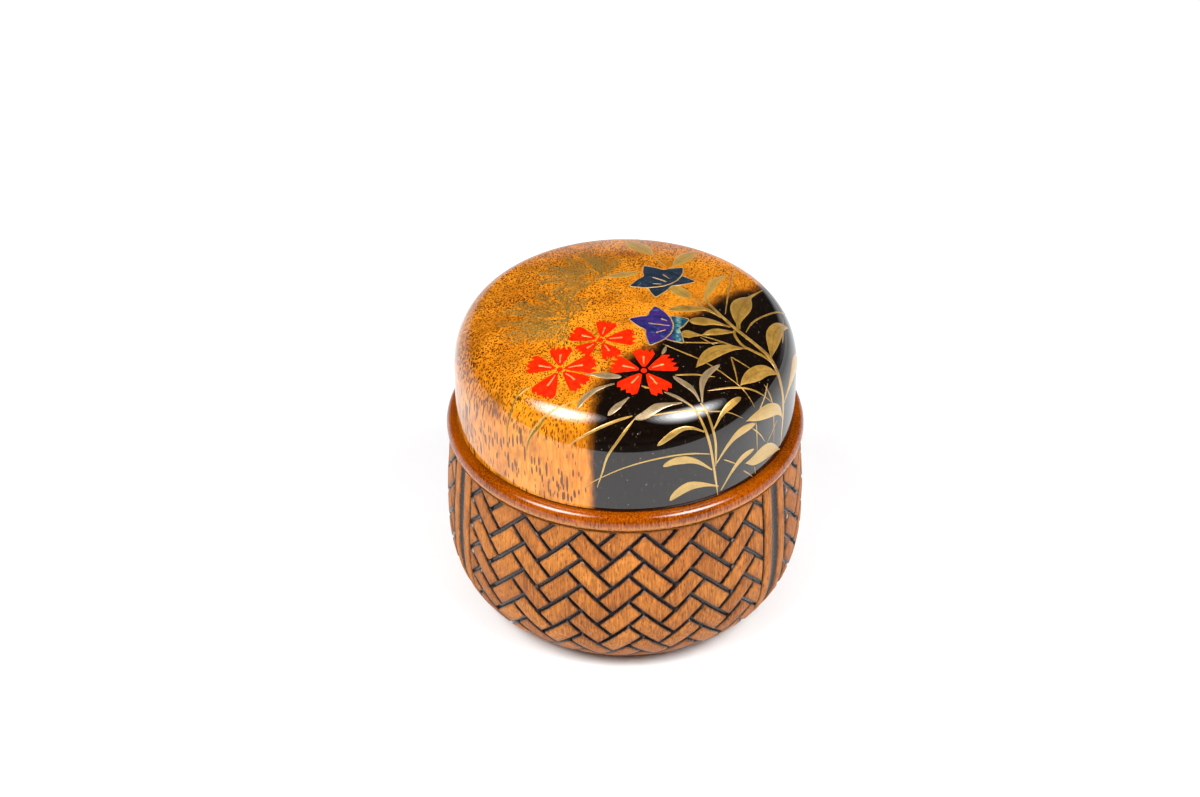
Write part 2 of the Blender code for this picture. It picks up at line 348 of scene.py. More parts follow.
def panel_tiles(low, high, shift):
    """Corners (angle, s) of all grid cells of the tiles that touch a panel."""
    # Grid lines follow the grooves' edges, with two more on a tile's flat top.
    edges = np.array(GROOVE_LINES) / TILE_WIDTH
    steps = np.concatenate([[0.0], edges, [0.39, 0.61], 1 - edges[::-1]])
    short = np.concatenate([steps * 2 - 1, [1.0]])
    long = np.concatenate([steps * 2 - 2, steps * 2, [2.0]])
    points, faces, count = [], [], 0
    for falling in (True, False):
        for i in range(-14, 15):
            for j in range(-9, 9):
                centre_p, centre_q = (4 * i - 2 * j, 4 * i + 2 * j)
                if not falling:
                    centre_p, centre_q = centre_p - 1, centre_q - 3
                x, y = (centre_p + centre_q) / 2, (centre_p - centre_q) / 2
                angle = PATTERN_ANGLE + TILE_TURN * x
                s = PATTERN_HEIGHT + shift + TILE_RISE * y
                if not (low - 9 < angle < high + 9 and CARVING_BOTTOM - 6 < s < CARVING_TOP + 6):
                    continue
                first, second = np.meshgrid(short, long, indexing="ij")
                p = centre_p + (first if falling else second)
                q = centre_q + (second if falling else first)
                grid = np.stack([PATTERN_ANGLE + TILE_TURN * (p + q) / 2,
                                 PATTERN_HEIGHT + shift + TILE_RISE * (p - q) / 2], -1)
                rows, columns = first.shape
                index = count + np.arange(rows * columns).reshape(rows, columns)
                faces.append(np.stack([index[:-1, :-1], index[1:, :-1], index[1:, 1:],
                                       index[:-1, 1:]], -1).reshape(-1, 4))
                points.append(grid.reshape(-1, 2))
                count += rows * columns
    points, faces = np.concatenate(points), np.concatenate(faces)
    keys = np.round(points * 2000).astype(np.int64)
    _, kept, merged = np.unique(keys, axis=0, return_index=True, return_inverse=True)
    return points[kept], merged.reshape(-1)[faces]


def cut_panel(low, high, shift):
    """Flat (angle, s) mesh of the panel between two bands, cut off at its four borders."""
    points, faces = panel_tiles(low, high, shift)
    bm = bmesh.new()
    verts = [bm.verts.new((x, y, 0)) for x, y in points]
    for face in faces:
        bm.faces.new([verts[i] for i in face])
    borders = [((low, 0, 0), (-1, 0, 0)), ((high, 0, 0), (1, 0, 0)),
               ((0, CARVING_BOTTOM, 0), (0, -1, 0)), ((0, CARVING_TOP, 0), (0, 1, 0))]
    for place, normal in borders:
        bmesh.ops.bisect_plane(bm, geom=bm.verts[:] + bm.edges[:] + bm.faces[:], dist=0.03,
                               plane_co=place, plane_no=normal, use_snap_center=True,
                               clear_outer=True)
    for offset in GROOVE_LINES:
        for x in (low + offset * DEGREES_PER_MM, high - offset * DEGREES_PER_MM):
            bmesh.ops.bisect_plane(bm, geom=bm.verts[:] + bm.edges[:] + bm.faces[:], dist=0.02,
                                   plane_co=(x, 0, 0), plane_no=(1, 0, 0), use_snap_center=True)
    bmesh.ops.triangulate(bm, faces=[f for f in bm.faces if len(f.verts) > 4])
    bm.verts.index_update()
    flat = np.array([v.co[:2] for v in bm.verts])
    # On the flat sheet up is what is outwards on the wall.
    bmesh.ops.recalc_face_normals(bm, faces=bm.faces)
    flip = bm.faces[:][0].normal.z < 0
    corners = [[v.index for v in (reversed(f.verts) if flip else f.verts)] for f in bm.faces]
    bm.free()
    return flat, corners


def carved_wall(shape):
    """Adds the carved wall. Returns its lower and upper rows as (indices, angles)."""
    angles = [angle for angle, _ in BANDS] + [BANDS[0][0] + 360]
    tones = RNG.normal(0, 1, TILE_LOOKS)
    tilts = RNG.normal(0, 1, TILE_LOOKS)
    rows = {"low": [], "high": []}
    sides = []
    band_side = (BAND_HALF + BAND_GAP) * DEGREES_PER_MM
    for k, (_, shift) in enumerate(BANDS):
        low, high = angles[k] + band_side, angles[k + 1] - band_side
        flat, faces = cut_panel(low, high, shift)
        inward, tile, across = tile_at(flat[:, 0], flat[:, 1], shift)
        border = np.minimum(flat[:, 0] - low, high - flat[:, 0]) / DEGREES_PER_MM
        full = carving_depth(flat[:, 1])
        number = (tile + 97 * k).astype(int) % TILE_LOOKS
        inward = np.minimum(inward, border)
        lift = groove(inward) * full
        uneven = TILE_UNEVEN * tones[number] + TILE_TILT * tilts[number] * across
        lift += full * smooth(0.35, 0.7, inward) * uneven
        inward = np.maximum(inward, 1.0 - 3.0 * full)
        first = shape.add(WALL.at(flat[:, 0], flat[:, 1], lift), faces,
                          inward=np.minimum(inward, 1.0), over=across * TILE_WIDTH / 2,
                          tone=0.5 + 0.2 * np.clip(tones[(number * 7) % TILE_LOOKS], -2, 2))
        for name, level in (("low", CARVING_BOTTOM), ("high", CARVING_TOP)):
            found = np.flatnonzero(abs(flat[:, 1] - level) < 1e-4)
            order = found[np.argsort(flat[found, 0])]
            rows[name].append((first + order, flat[order, 0]))
        for edge in (low, high):
            found = np.flatnonzero(abs(flat[:, 0] - edge) < 1e-3)
            order = found[np.argsort(flat[found, 1])]
            sides.append((first + order, flat[order, 1]))
    for k in range(len(BANDS)):
        left, right = sides[2 * k - 1], sides[2 * k]
        low, high = plain_band(shape, angles[k], left, right)
        rows["low"].append(low)
        rows["high"].append(high)
    joined = {}
    for name, parts in rows.items():
        index = np.concatenate([part[0] for part in parts])
        angle = np.concatenate([part[1] for part in parts]) % 360
        order = np.argsort(angle)
        joined[name] = (index[order], angle[order])
    return joined


def plain_band(shape, angle, left, right):
    """A plain upright band with a wide hollow down its middle, zipped to the panels beside it."""
    half, depth, inward = BAND_SECTION
    offsets = np.concatenate([-half[:0:-1], half])
    lifts, inwards = (np.concatenate([line[:0:-1], line]) for line in (depth, inward))
    levels = np.linspace(CARVING_BOTTOM, CARVING_TOP, 36)
    full = carving_depth(levels)[:, None]
    grid_s, grid_o = np.meshgrid(levels, offsets, indexing="ij")
    lift = lifts * full
    points = WALL.at(angle + grid_o * DEGREES_PER_MM, grid_s, lift)
    rows, columns = grid_s.shape
    index = np.arange(rows * columns).reshape(rows, columns)
    faces = np.stack([index[:-1, :-1], index[:-1, 1:], index[1:, 1:], index[1:, :-1]], -1)
    first = shape.add(points, faces.reshape(-1, 4), tone=0.5,
                      inward=np.maximum(inwards, 1.0 - 3.0 * full).reshape(-1))
    zip_rows(shape, first + index[:, 0], levels, left[0], left[1])
    zip_rows(shape, right[0], right[1], first + index[:, -1], levels)
    spread = angle + offsets * DEGREES_PER_MM
    return (first + index[0], spread), (first + index[-1], spread)


def zip_loop(shape, row, first_ring, segments, above):
    """Closes the strip between a carved row and a lathe ring that starts at the front."""
    index, angle = row
    index = np.concatenate([index, index[:1]])
    angle = np.concatenate([angle, angle[:1] + 360])
    start = int(math.ceil(angle[0] / (360 / segments)))
    turn = start + np.arange(segments + 1)
    ring_index = first_ring[turn % segments]
    ring_angle = turn * 360 / segments
    if above:
        zip_rows(shape, index, angle, ring_index, ring_angle)
    else:
        zip_rows(shape, ring_index, ring_angle, index, angle)


def vessel(materials):
    """The whole vessel: carved wall, foot, rim bead with its seat, neck and cavity."""
    shape = Shape()
    rows = carved_wall(shape)
    recess = FOOT_RADIUS - FOOT_RING_WIDTH
    under = [(0, FOOT_RECESS), (9, FOOT_RECESS), (recess - 1.4, FOOT_RECESS),
             (recess - 0.7, FOOT_RECESS * 0.8), (recess, 0.12), (recess + 0.25, 0.0),
             (FOOT_RADIUS - 0.35, 0.0)]
    outside_s = np.linspace(0.35, CARVING_BOTTOM - 0.05, 12)
    foot = under + list(zip(*(np.interp(outside_s, WALL.s, line) for line in (WALL.r, WALL.z))))
    low_rings = lathe(shape, foot, SEGMENTS, 0, inward=1.0, tone=0.5)
    zip_loop(shape, rows["low"], low_rings[-1], SEGMENTS, above=False)

    bead = [(NECK_RADIUS - 0.06, WALL.z[-1] + 0.2), (NECK_RADIUS - 0.4, RIM_BOTTOM_Z - 0.04)]
    bead += ellipse(RIM_RADIUS - RIM_STAND_OUT, (RIM_BOTTOM_Z + SEAT_Z) / 2, RIM_STAND_OUT,
                    (SEAT_Z - RIM_BOTTOM_Z) / 2, np.linspace(-0.42 * math.pi, 0.5 * math.pi, 20))
    bead.append((LIP_RADIUS + 0.5, SEAT_Z))
    inward = np.ones(len(bead))
    inward[:2] = 0.42
    rim_rings = lathe(shape, bead, SEGMENTS, 1, inward=inward, tone=0.5)
    zip_loop(shape, rows["high"], rim_rings[0], SEGMENTS, above=True)

    mouth = LIP_RADIUS - LIP_THICKNESS
    inside = [(LIP_RADIUS + 0.12, SEAT_Z + 0.03), (LIP_RADIUS, SEAT_Z + 0.2)]
    inside += [(LIP_RADIUS, LIP_TOP_Z - 2), (LIP_RADIUS, LIP_TOP_Z - 0.5)]
    inside += ellipse((LIP_RADIUS + mouth) / 2, LIP_TOP_Z - 0.5, LIP_THICKNESS / 2, 0.5,
                      np.linspace(0, math.pi, 9)[1:-1])
    inside += [(mouth, LIP_TOP_Z - 0.5), (mouth, SEAT_Z)]
    for share in np.linspace(0, 1, 9)[1:]:
        radius = mouth + (CAVITY_BELLY_RADIUS - mouth) * math.sin(share * math.pi / 2) ** 2
        inside.append((radius, SEAT_Z + (CAVITY_BELLY_Z - SEAT_Z) * share))
    inside += ellipse(CAVITY_FLOOR_RADIUS, CAVITY_BELLY_Z, CAVITY_BELLY_RADIUS - CAVITY_FLOOR_RADIUS,
                      CAVITY_FLOOR_Z - CAVITY_BELLY_Z, np.linspace(0, math.pi / 2, 14)[1:])
    inside += [(8, CAVITY_FLOOR_Z), (0, CAVITY_FLOOR_Z)]
    inner_rings = lathe(shape, inside, SEGMENTS, 2)
    bridge(shape, rim_rings[-1], inner_rings[0], 2)
    return shape.build("carved_vessel", materials)


# ---- lid --------------------------------------------------------------------------------
# Where amber meets black on the lid, from the front edge over the top to the back edge.
SHADE_LINE = ((-10, -60), (-7.6, -41), (-6.3, -31), (-5.8, -26), (-4.5, -22), (-1.5, -18.5),
              (1, -15.5), (4, -13), (7, -9), (10, -4), (13.5, -1.5), (15.5, 1), (17.5, 4),
              (21, 7.3), (25.5, 11.2), (27.5, 14.5), (33, 18.5), (52, 30))
DENSE_WAY = (-0.6, 0.5)        # pores get denser to the back and left
SHADE_SOFT = (4.8, 3.2)        # half width of the change on the lid's top and on its side


def spline(points, step, closed=False):
    """Smooth line through flat points, as points one step apart."""
    p = np.array(points, float)
    if closed:
        p = np.concatenate([p[-1:], p, p[:2]])
    else:
        p = np.concatenate([2 * p[:1] - p[1:2], p, 2 * p[-1:] - p[-2:-1]])
    t = np.linspace(0, 1, 13)[:-1, None]
    line = []
    for a, b, c, d in zip(p, p[1:], p[2:], p[3:]):
        line.append(0.5 * (2 * b + (c - a) * t + (2 * a - 5 * b + 4 * c - d) * t ** 2
                           + (3 * b - a - 3 * c + d) * t ** 3))
    line = np.concatenate(line + [p[-2:-1]])
    s = lengths_along(line)
    at = np.linspace(0, s[-1], max(3, int(round(s[-1] / step)) + 1))
    return np.stack([np.interp(at, s, line[:, 0]), np.interp(at, s, line[:, 1])], -1)


def distances(points, starts, ends):
    """Distance from every point to every segment, with a row for each segment."""
    a, b = starts[:, None], ends[:, None]
    along = np.clip(((points - a) * (b - a)).sum(-1) / ((b - a) ** 2).sum(-1), 0, 1)
    return np.linalg.norm(points - a - along[..., None] * (b - a), axis=-1)


def blackness(uv):
    """How black the lacquer is at flat positions: 0 amber, 1 black."""
    line = spline(SHADE_LINE, 1.5)
    distance = distances(uv, line[:-1], line[1:])
    nearest = distance.argmin(0)
    pick = np.arange(len(uv))
    chord = (line[1:] - line[:-1])[nearest]
    away = uv - line[:-1][nearest]
    side = np.sign(chord[:, 0] * away[:, 1] - chord[:, 1] * away[:, 0])
    signed = -side * distance[nearest, pick]
    soft = SHADE_SOFT[0] + (SHADE_SOFT[1] - SHADE_SOFT[0]) * smooth(24, 36, np.hypot(*uv.T))
    return smooth(-1, 1, signed / soft)


def lid(materials):
    """The whole lid, with how black, how dense with pores and how upright each place is."""
    shape = Shape()
    outer = lid_outline(46, 26, 22)
    reach = lengths_along(np.array(outer))
    angle = 2 * np.pi * np.arange(LID_SEGMENTS) / LID_SEGMENTS
    black, dense = [], []
    for s in reach:
        flat = np.stack([s * np.sin(angle), -s * np.cos(angle)], -1)
        if s < 1e-6:
            flat = flat[:1]
        black.append(blackness(flat))
        dense.append(smooth(-8, 16, flat @ DENSE_WAY))
    rings = lathe(shape, outer, LID_SEGMENTS, 0, black=black, dense=dense, side=smooth(31, 40, reach))
    inner = lathe(shape, lid_inside(), LID_SEGMENTS, 1)
    bridge(shape, rings[-1], inner[0], 1)
    shape.faces = [face[::-1] for face in shape.faces]
    return shape.build("lacquered_lid", materials)


# ---- painted decoration -----------------------------------------------------------------
SINK = -0.04                   # painted edges end this far under the lacquer
# Cross sections of a brush stroke: places from edge to edge, and the height at each.
LEAF_SECTION = np.array([[-1, -0.86, -0.45, 0, 0.45, 0.86, 1], [0, 0.62, 1, 0.78, 1, 0.62, 0]])
LINE_SECTION = np.array([[-1, -0.5, 0.5, 1], [0, 0.9, 0.9, 0]])
LINE_WIDTH = 0.9               # strokes wider than this have a leaf's section


def stroke(shape, points, width, height, step=0.6, closed=False, lift=0.0):
    """A raised brush stroke on the lid. width gives the full width at a share of its length."""
    line = spline(points, step, closed)
    if closed:
        line = line[:-1]
    tangent = np.roll(line, -1, 0) - np.roll(line, 1, 0)
    if not closed:
        tangent[0], tangent[-1] = line[1] - line[0], line[-1] - line[-2]
    tangent /= np.linalg.norm(tangent, axis=1)[:, None]
    side = np.stack([-tangent[:, 1], tangent[:, 0]], -1)
    half = np.array([width(t) for t in np.linspace(0, 1, len(line))]) / 2
    across, rise = LEAF_SECTION if half.max() > LINE_WIDTH / 2 else LINE_SECTION
    uv = line[:, None] + side[:, None] * (half[:, None] * across)[..., None]
    raised = lift + height * rise
    raised[[0, -1]] = SINK
    points = LID.over(uv, np.broadcast_to(raised, uv.shape[:2]))
    n, m = uv.shape[:2]
    index = np.arange(n * m).reshape(n, m)
    following = np.roll(index, -1, 0) if closed else index[1:]
    here = index if closed else index[:-1]
    faces = []
    for k in range(m):
        j = (k + 1) % m
        faces.append(np.stack([here[:, k], following[:, k], following[:, j], here[:, j]], -1))
    faces = [tuple(face) for face in np.concatenate(faces)]
    if not closed:
        faces += [tuple(index[0]), tuple(index[-1][::-1])]
    shape.add(points.reshape(-1, 3), faces, across=np.broadcast_to(across, (n, m)).reshape(-1))


def leaf_width(width, belly=0.55, base=0.35):
    """Width of a pointed leaf along its length."""
    power = 2.6
    def at(t):
        t = min(max(t, 1e-4), 1 - 1e-4)
        hump = (t / belly) ** (power * belly) * ((1 - t) / (1 - belly)) ** (power * (1 - belly))
        return max(0.08, width * hump, base * (1 - t))
    return at


def round_width(width, belly=0.62, base=0.35):
    """Width of a leaf that swells slowly from its stem and ends round."""
    def at(t):
        if t < belly:
            return base + (width - base) * (t / belly) ** 1.5
        return max(0.12, width * math.sqrt(1 - min(1.0, (t - belly) / (1 - belly)) ** 2.4))
    return at


def tailed_width(width, tail=0.28):
    """Width of a leaf whose tip is drawn out into a thin tail."""
    body = leaf_width(width, 0.62, 0.0)
    def at(t):
        return max(body(t / (1 - tail)), 0.12 + 0.7 * min(1.0, (1 - t) / tail))
    return at


def blunt_width(width):
    """Width of a leaf that is blunt at both ends."""
    return lambda t: 0.15 + (width - 0.15) * math.sqrt(1 - abs(2 * t - 1) ** 3.0)


def blade_width(width, end=0.25):
    """Width of a grass blade or stem, which thins to a share of it at its tip."""
    return lambda t: width * (1 - (1 - end) * t ** 3) * min(1.0, 0.35 + 4 * t)


def plate(shape, outline, height, spacing, edge):
    """A thin raised plate over a closed flat outline that runs counter-clockwise."""
    outline = np.array(outline, float)
    low, high = outline.min(0), outline.max(0)
    columns, rows = (np.arange(low[i] + spacing / 2, high[i], spacing) for i in (0, 1))
    inner = np.stack(np.meshgrid(columns, rows, indexing="ij"), -1).reshape(-1, 2)
    a, b = outline[:, None], np.roll(outline, -1, 0)[:, None]
    distance = distances(inner, outline, np.roll(outline, -1, 0)).min(0)
    crossing = ((a[..., 1] > inner[:, 1]) != (b[..., 1] > inner[:, 1])) & (
        inner[:, 0] < (b[..., 0] - a[..., 0]) * (inner[:, 1] - a[..., 1])
        / np.where(b[..., 1] == a[..., 1], 1e-9, b[..., 1] - a[..., 1]) + a[..., 0])
    inside = inner[(crossing.sum(0) % 2 == 1) & (distance > 0.4 * spacing)]
    n = len(outline)
    flat = np.concatenate([outline, inside])
    edges = [(i, (i + 1) % n) for i in range(n)]
    verts, _, faces, _, _, _ = delaunay_2d_cdt([Vector(p) for p in flat], edges, [], 1, 1e-5)
    if len(verts) != len(flat):
        raise ValueError("a plate's outline crosses itself")
    raised = np.full(len(flat), height)
    raised[:n] = height * (1 - edge)
    top = LID.over(flat, raised)
    bottom = LID.over(flat, SINK)
    total = len(flat)
    sides = [(total + i, total + (i + 1) % n, (i + 1) % n, i) for i in range(n)]
    faces = [tuple(f) for f in faces]
    under = [tuple(total + i for i in reversed(f)) for f in faces]
    shape.add(np.concatenate([top, bottom]), faces + sides + under, across=0.0)


# Bellflower tips, counter-clockwise from the tip that starts the two front petals.
UPPER_TIPS = ((5.6, 2.7), (13.2, 9.5), (10.9, 14.7), (3.5, 14.5), (0.8, 6.3))
LOWER_TIPS = ((10.7, -11.0), (11.8, -3.9), (5.5, -0.5), (0.7, -4.8), (4.5, -12.2))
UPPER_STAMENS = (((7.1, 11.1), (8.25, 9.75)), ((5.1, 9.9), (7.7, 8.4)), ((5.1, 7.4), (6.7, 7.4)))
LOWER_STAMENS = (((6.6, -4.4), (7.7, -4.9)), ((4.3, -5.95), (8.2, -6.4)),
                 ((5.7, -8.6), (7.4, -7.75)))
NOTCH_REACH = 0.74
PETAL_SWELL = 0.05
SPLIT_BOW = 0.16


def between(a, b, share):
    return np.asarray(a, float) * (1 - share) + np.asarray(b, float) * share


def arc(a, b, bow, steps=6):
    """Points from a up to but not including b, bowed to the right by bow times the chord."""
    chord = np.asarray(b, float) - np.asarray(a, float)
    t = np.arange(steps)[:, None] / steps
    return a + chord * t + 4 * bow * t * (1 - t) * np.array([chord[1], -chord[0]])


def petal_line(tips, first, count):
    """Outline of some petals of a bellflower, from notch to notch."""
    centre = np.mean(tips, 0)
    parts = []
    for i in range(first, first + count):
        before, tip, after = (tips[(i + k) % len(tips)] for k in (-1, 0, 1))
        left = between(centre, between(before, tip, 0.5), NOTCH_REACH)
        right = between(centre, between(tip, after, 0.5), NOTCH_REACH)
        parts += [arc(left, tip, PETAL_SWELL), arc(tip, right, PETAL_SWELL)]
    return np.concatenate(parts + [[right]])


def bellflower(name, tips, stamens, shell, gold):
    """Two shell plates that stand for the CAD plates, and their gold outline and stamens."""
    lip = petal_line(tips, 0, 2)
    back = petal_line(tips, 2, 3)
    split = np.concatenate([arc(lip[0], lip[-1], SPLIT_BOW, 8), lip[-1:]])
    pieces = []
    for part, outline in (("lip", np.concatenate([lip, split[1:-1][::-1]])),
                          ("petals", np.concatenate([back, split[1:-1]]))):
        shape = Shape()
        plate(shape, outline, 0.05, spacing=0.8, edge=0.0)
        piece = shape.build(name + "_" + part + "_shell", [shell])
        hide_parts(name + "_" + part)
        pieces.append(piece)
    stroke(gold, np.concatenate([lip, back[1:-1]])[::2], lambda t: 0.28, 0.07, 0.35, closed=True)
    stroke(gold, split[::2], lambda t: 0.38, 0.08, 0.5, lift=0.03)
    for start, end in stamens:
        stroke(gold, (start, between(start, end, 0.5), end), lambda t: 0.38 - 0.12 * t, 0.07, 0.5,
               lift=0.03)
    return pieces


# Pinks: middle, and each petal's direction and length.
PINKS = (((-12.2, -18.2), ((88, 6.2), (9, 7.0), (-46, 6.6), (-120, 7.3), (158, 6.7))),
         ((-4.7, -10.9), ((76, 5.8), (8, 6.7), (-62, 5.7), (-139, 5.3), (155, 6.1))),
         ((3.4, -19.1), ((90, 5.9), (27, 6.6), (-53, 6.6), (-125, 6.5), (163, 6.6))))
PETAL_WIDTH = 0.70             # shares of a petal's length
PETAL_FRINGE = 0.12
PETAL_TEETH = 4
PINK_MIDDLE = 0.6              # radius


def pink(centre, petals, red, gold):
    """Five fringed petals round a small middle, with a gold line down each."""
    for direction, reach in petals:
        width = PETAL_WIDTH * reach
        turn = math.radians(direction)
        ahead = np.array([math.cos(turn), math.sin(turn)])
        left = np.array([-ahead[1], ahead[0]])
        def place(x, y):
            return np.array(centre) + ahead * x + left * y
        sides = [(1.0, 0.28), (0.42 * reach, 0.27 * width), (0.72 * reach, 0.46 * width)]
        outline = [place(x, -y) for x, y in sides]
        for k in range(2 * PETAL_TEETH + 1):
            y = (k / PETAL_TEETH - 1) * width / 2
            bulge = reach * (1 - 0.55 * (y / reach) ** 2)
            depth = 0.0 if k % 2 else PETAL_FRINGE * reach * RNG.uniform(0.5, 1.5)
            outline.append(place(bulge - depth, y))
        outline += [place(x, y) for x, y in reversed(sides)]
        plate(red, outline, 0.08, spacing=0.9, edge=0.35)
        inner, outer = 1.7, 0.62 * reach
        stroke(gold, (place(inner, 0), place((inner + outer) / 2, 0.05), place(outer, 0)),
               lambda t: 0.30 + 0.30 * t, 0.05, 0.5, lift=0.08)
    disc = ellipse(*centre, PINK_MIDDLE, PINK_MIDDLE, np.linspace(0, 2 * math.pi, 11)[:-1])
    plate(red, disc, 0.08, spacing=0.6, edge=0.35)


# Stems: points from the root of the plant to its tip, and the width.
STEMS = (
    (((43.7, -21), (38.5, -17.9), (32.5, -15.4), (28.75, -12.5), (24.6, -8.6), (20.1, -4.1),
      (16, 1.5), (15, 4)), 0.95),
    (((27.9, -12.2), (23.3, -10.2), (21.7, -9.2), (20.6, -7), (20.4, -5.5)), 0.9),
    (((26.8, -42.6), (22, -37.6), (17.4, -32.4), (13, -27.4), (11.6, -26.4)), 0.8),
    (((22.2, -37), (19.5, -32.8), (17, -29.5), (15.4, -27.4), (14.0, -25.9)), 0.75),
    (((14.6, 0.9), (13.2, 2.4), (11.4, 4.1)), 0.6),
    (((7.5, 15.2), (6.2, 17), (5.4, 18.9)), 0.6),
)

# Leaves: points from base to tip, and the greatest width.
LEAVES = (
    (((20.8, -5.9), (18, -6.4), (16.2, -7), (14.3, -8.2)), 2.0),
    (((27.5, -11.7), (27.8, -8), (28.3, -4), (29.6, -0.8), (32, 1.2)), 3.4),
    (((22.9, -10.2), (19.6, -10.8), (16.7, -12.5), (14.6, -15), (13.1, -17.4)), 3.0),
    (((30.2, -13.5), (26.7, -14.6), (24.6, -16.3), (22.5, -18.7), (21.5, -20.2)), 3.2),
    (((38.7, -18), (34.5, -18.9), (30.75, -21.2), (27.4, -24.1), (24.9, -26.2)), 3.2),
    (((44.5, -21.6), (40.75, -24.5), (37.4, -27.4), (34.1, -31.2), (31.4, -33.2)), 4.0),
    (((35.6, -16.7), (35.2, -11.7), (35.8, -5.4), (39.6, -0.4), (42.5, 5)), 3.5),
)

TAILED_LEAVES = (
    (((21.3, -4.8), (21.3, -0.8), (22.1, 3.2), (23.8, 6.8), (26.5, 10.8)), 4.3),
)

# Leaves that end round: the front plant's, and those beside the lower bellflower.
ROUND_LEAVES = (
    (((18, -2.1), (15.3, -0.1), (12, -0.4), (10.1, -0.7), (8.1, -1.4)), 2.3),
    (((19.7, -4.6), (16.7, -3.9), (14.4, -4), (11.9, -4.4)), 2.7),
    (((14.3, -8.3), (12, -8.3), (10.4, -8.6)), 2.5),
    (((17.7, -30), (18.7, -26.7), (20.4, -24.2), (22, -22.5)), 1.5),
    (((22, -36.4), (23, -31.6), (24.5, -28.7), (27.8, -25.5)), 1.9),
    (((27.2, -41.2), (28, -36.6), (29.3, -32.8), (32, -29.5)), 1.6),
    (((15.7, -31), (12.6, -30.9), (10.1, -31.9), (6.5, -35.1)), 1.35),
    (((21.5, -38), (15.5, -37.2), (11.3, -37.9), (8.6, -39.4)), 1.9),
    (((25.7, -40.7), (20.3, -41.8), (16.6, -43), (13.7, -45.3), (12.4, -47)), 2.4),
)

# Leaves in duller powder: over the amber, and those that stand behind.
DULL_LEAVES = (
    (((14.4, 1.9), (15.6, 5.7), (17.1, 10.7), (20, 14.6)), 2.0),
    (((8.9, 14.6), (10.2, 17.4), (11.9, 20.6), (13.6, 23.6)), 3.3),
    (((5.4, 19.3), (3.8, 22), (1.6, 25.0), (0.2, 27.6)), 4.4),
    (((-5, 9.4), (-1.6, 10.4), (0.9, 11.2), (2.8, 12.3)), 2.3),
)
DULL_ROUND_LEAVES = (
    (((12.1, 3.3), (10.9, 4.5), (9.7, 5.8), (8.6, 6.9)), 3.3),
)
GREY_LEAVES = (
    (((14.3, -25.8), (14.2, -22), (15, -19), (17.6, -15.8)), 1.5),
    (((0.7, -25.7), (-1.2, -27.6), (-3.2, -29.7)), 1.4),
    (((-7.4, -19.7), (-4.1, -20.3), (-0.7, -20.7)), 1.6),
    (((-2, -22.4), (-5.3, -23.7), (-7.6, -25.7), (-8.9, -28)), 1.3),
    (((7.6, -12), (7.3, -13.2), (6.8, -14.6)), 0.9),
    (((10.5, -26.4), (6.3, -27.6), (3.8, -29.5), (1.7, -30.4)), 1.9),
    (((12.8, -27.2), (10.8, -25.9), (9.0, -24.9), (7.2, -24.1)), 0.9),
    (((13.8, -25.6), (12.2, -22.8), (8.8, -20.1)), 1.3),
)

# Grass blades: points from root to tip, and the width.
BLADES = (
    (((20, -34.8), (13.4, -36), (7.2, -37.7), (1.3, -39.6), (-5.3, -42.1), (-11.8, -44.6)), 0.5),
    (((1.3, -29.8), (-2.4, -31), (-7, -32.7), (-11.8, -34.6)), 0.8),
    (((1.7, -30.4), (-1.2, -34.2), (-3.7, -37.5), (-5.3, -41.2), (-7, -44.4)), 0.75),
    (((3, -30.1), (11.2, -27.9), (15.8, -27.1), (19.6, -26.2), (23.7, -26)), 0.45),
    (((27.8, -26.6), (31, -26.3), (34.9, -26.2)), 0.4),
    (((6.9, -11.7), (10, -13.3), (14, -15.2), (17.5, -17.5), (20.8, -20), (25.8, -22.9)), 0.45),
    (((10, -11), (14.2, -10.4), (18.3, -9.7)), 0.45),
    (((20.8, -10.3), (17.6, -9.3), (14.1, -8.4)), 0.6),
    (((19.7, -13.3), (20.4, -16.5), (21, -20.2)), 0.45),
    (((19.8, -13.3), (21.6, -14.4), (23.5, -15.6)), 0.4),
    (((9.2, -19.8), (12.9, -19.2), (16.7, -19.2)), 0.6),
    (((15.2, -22.9), (20.4, -21), (24.6, -20), (30, -19.6)), 0.55),
    (((26.7, -17.7), (30, -19.2), (36.7, -22.5), (39.2, -23.7)), 0.45),
    (((27.5, -17), (27.7, -20), (27.3, -23.7)), 0.4),
    (((35.8, -20.4), (36.1, -23), (36.2, -25.8)), 0.4),
    (((27.8, -25.1), (31.2, -27.4), (33.7, -29.3)), 0.4),
    (((35.7, -32), (36.6, -32.4), (37.4, -32.8)), 0.4),
    (((23.7, -35.1), (26.4, -34.8), (29.1, -34.5)), 0.4),
    (((32, -34.7), (34.5, -34.3), (37, -33.9)), 0.4),
    (((14, -9), (15.3, -9.8), (16.7, -10.6)), 0.4),
    (((18.8, -0.8), (19.4, 5.2), (20.1, 10.7), (20.8, 15.2), (22.7, 21.5), (24, 28)), 0.45),
    (((22.7, -5.4), (24, -2), (26, 0.7), (29.2, 4), (31.7, 6.9), (33.7, 13.2)), 0.6),
    (((30.2, -5.4), (30.4, -0.6), (30.6, 4.2)), 0.4),
)
FAINT_BLADES = (
    (((-18, -21.3), (-20.7, -23.4), (-23, -26), (-25.5, -28.4), (-28, -31)), 0.6),
    (((-15, -28), (-16.8, -29.8), (-19.8, -31.3), (-22.6, -33.6)), 0.6),
    (((-5, 7), (-2.4, 4.6), (0, 2)), 0.35),
)
DULL_BLADES = (
    (((-9.1, -26.2), (-14.9, -28.1), (-18.7, -30.2), (-22, -32.5)), 0.6),
    (((-17.4, -21.7), (-19, -22.5), (-20.7, -23.3)), 0.4),
    (((3, -22.9), (3.8, -23.2), (4.5, -23.4)), 0.8),
)

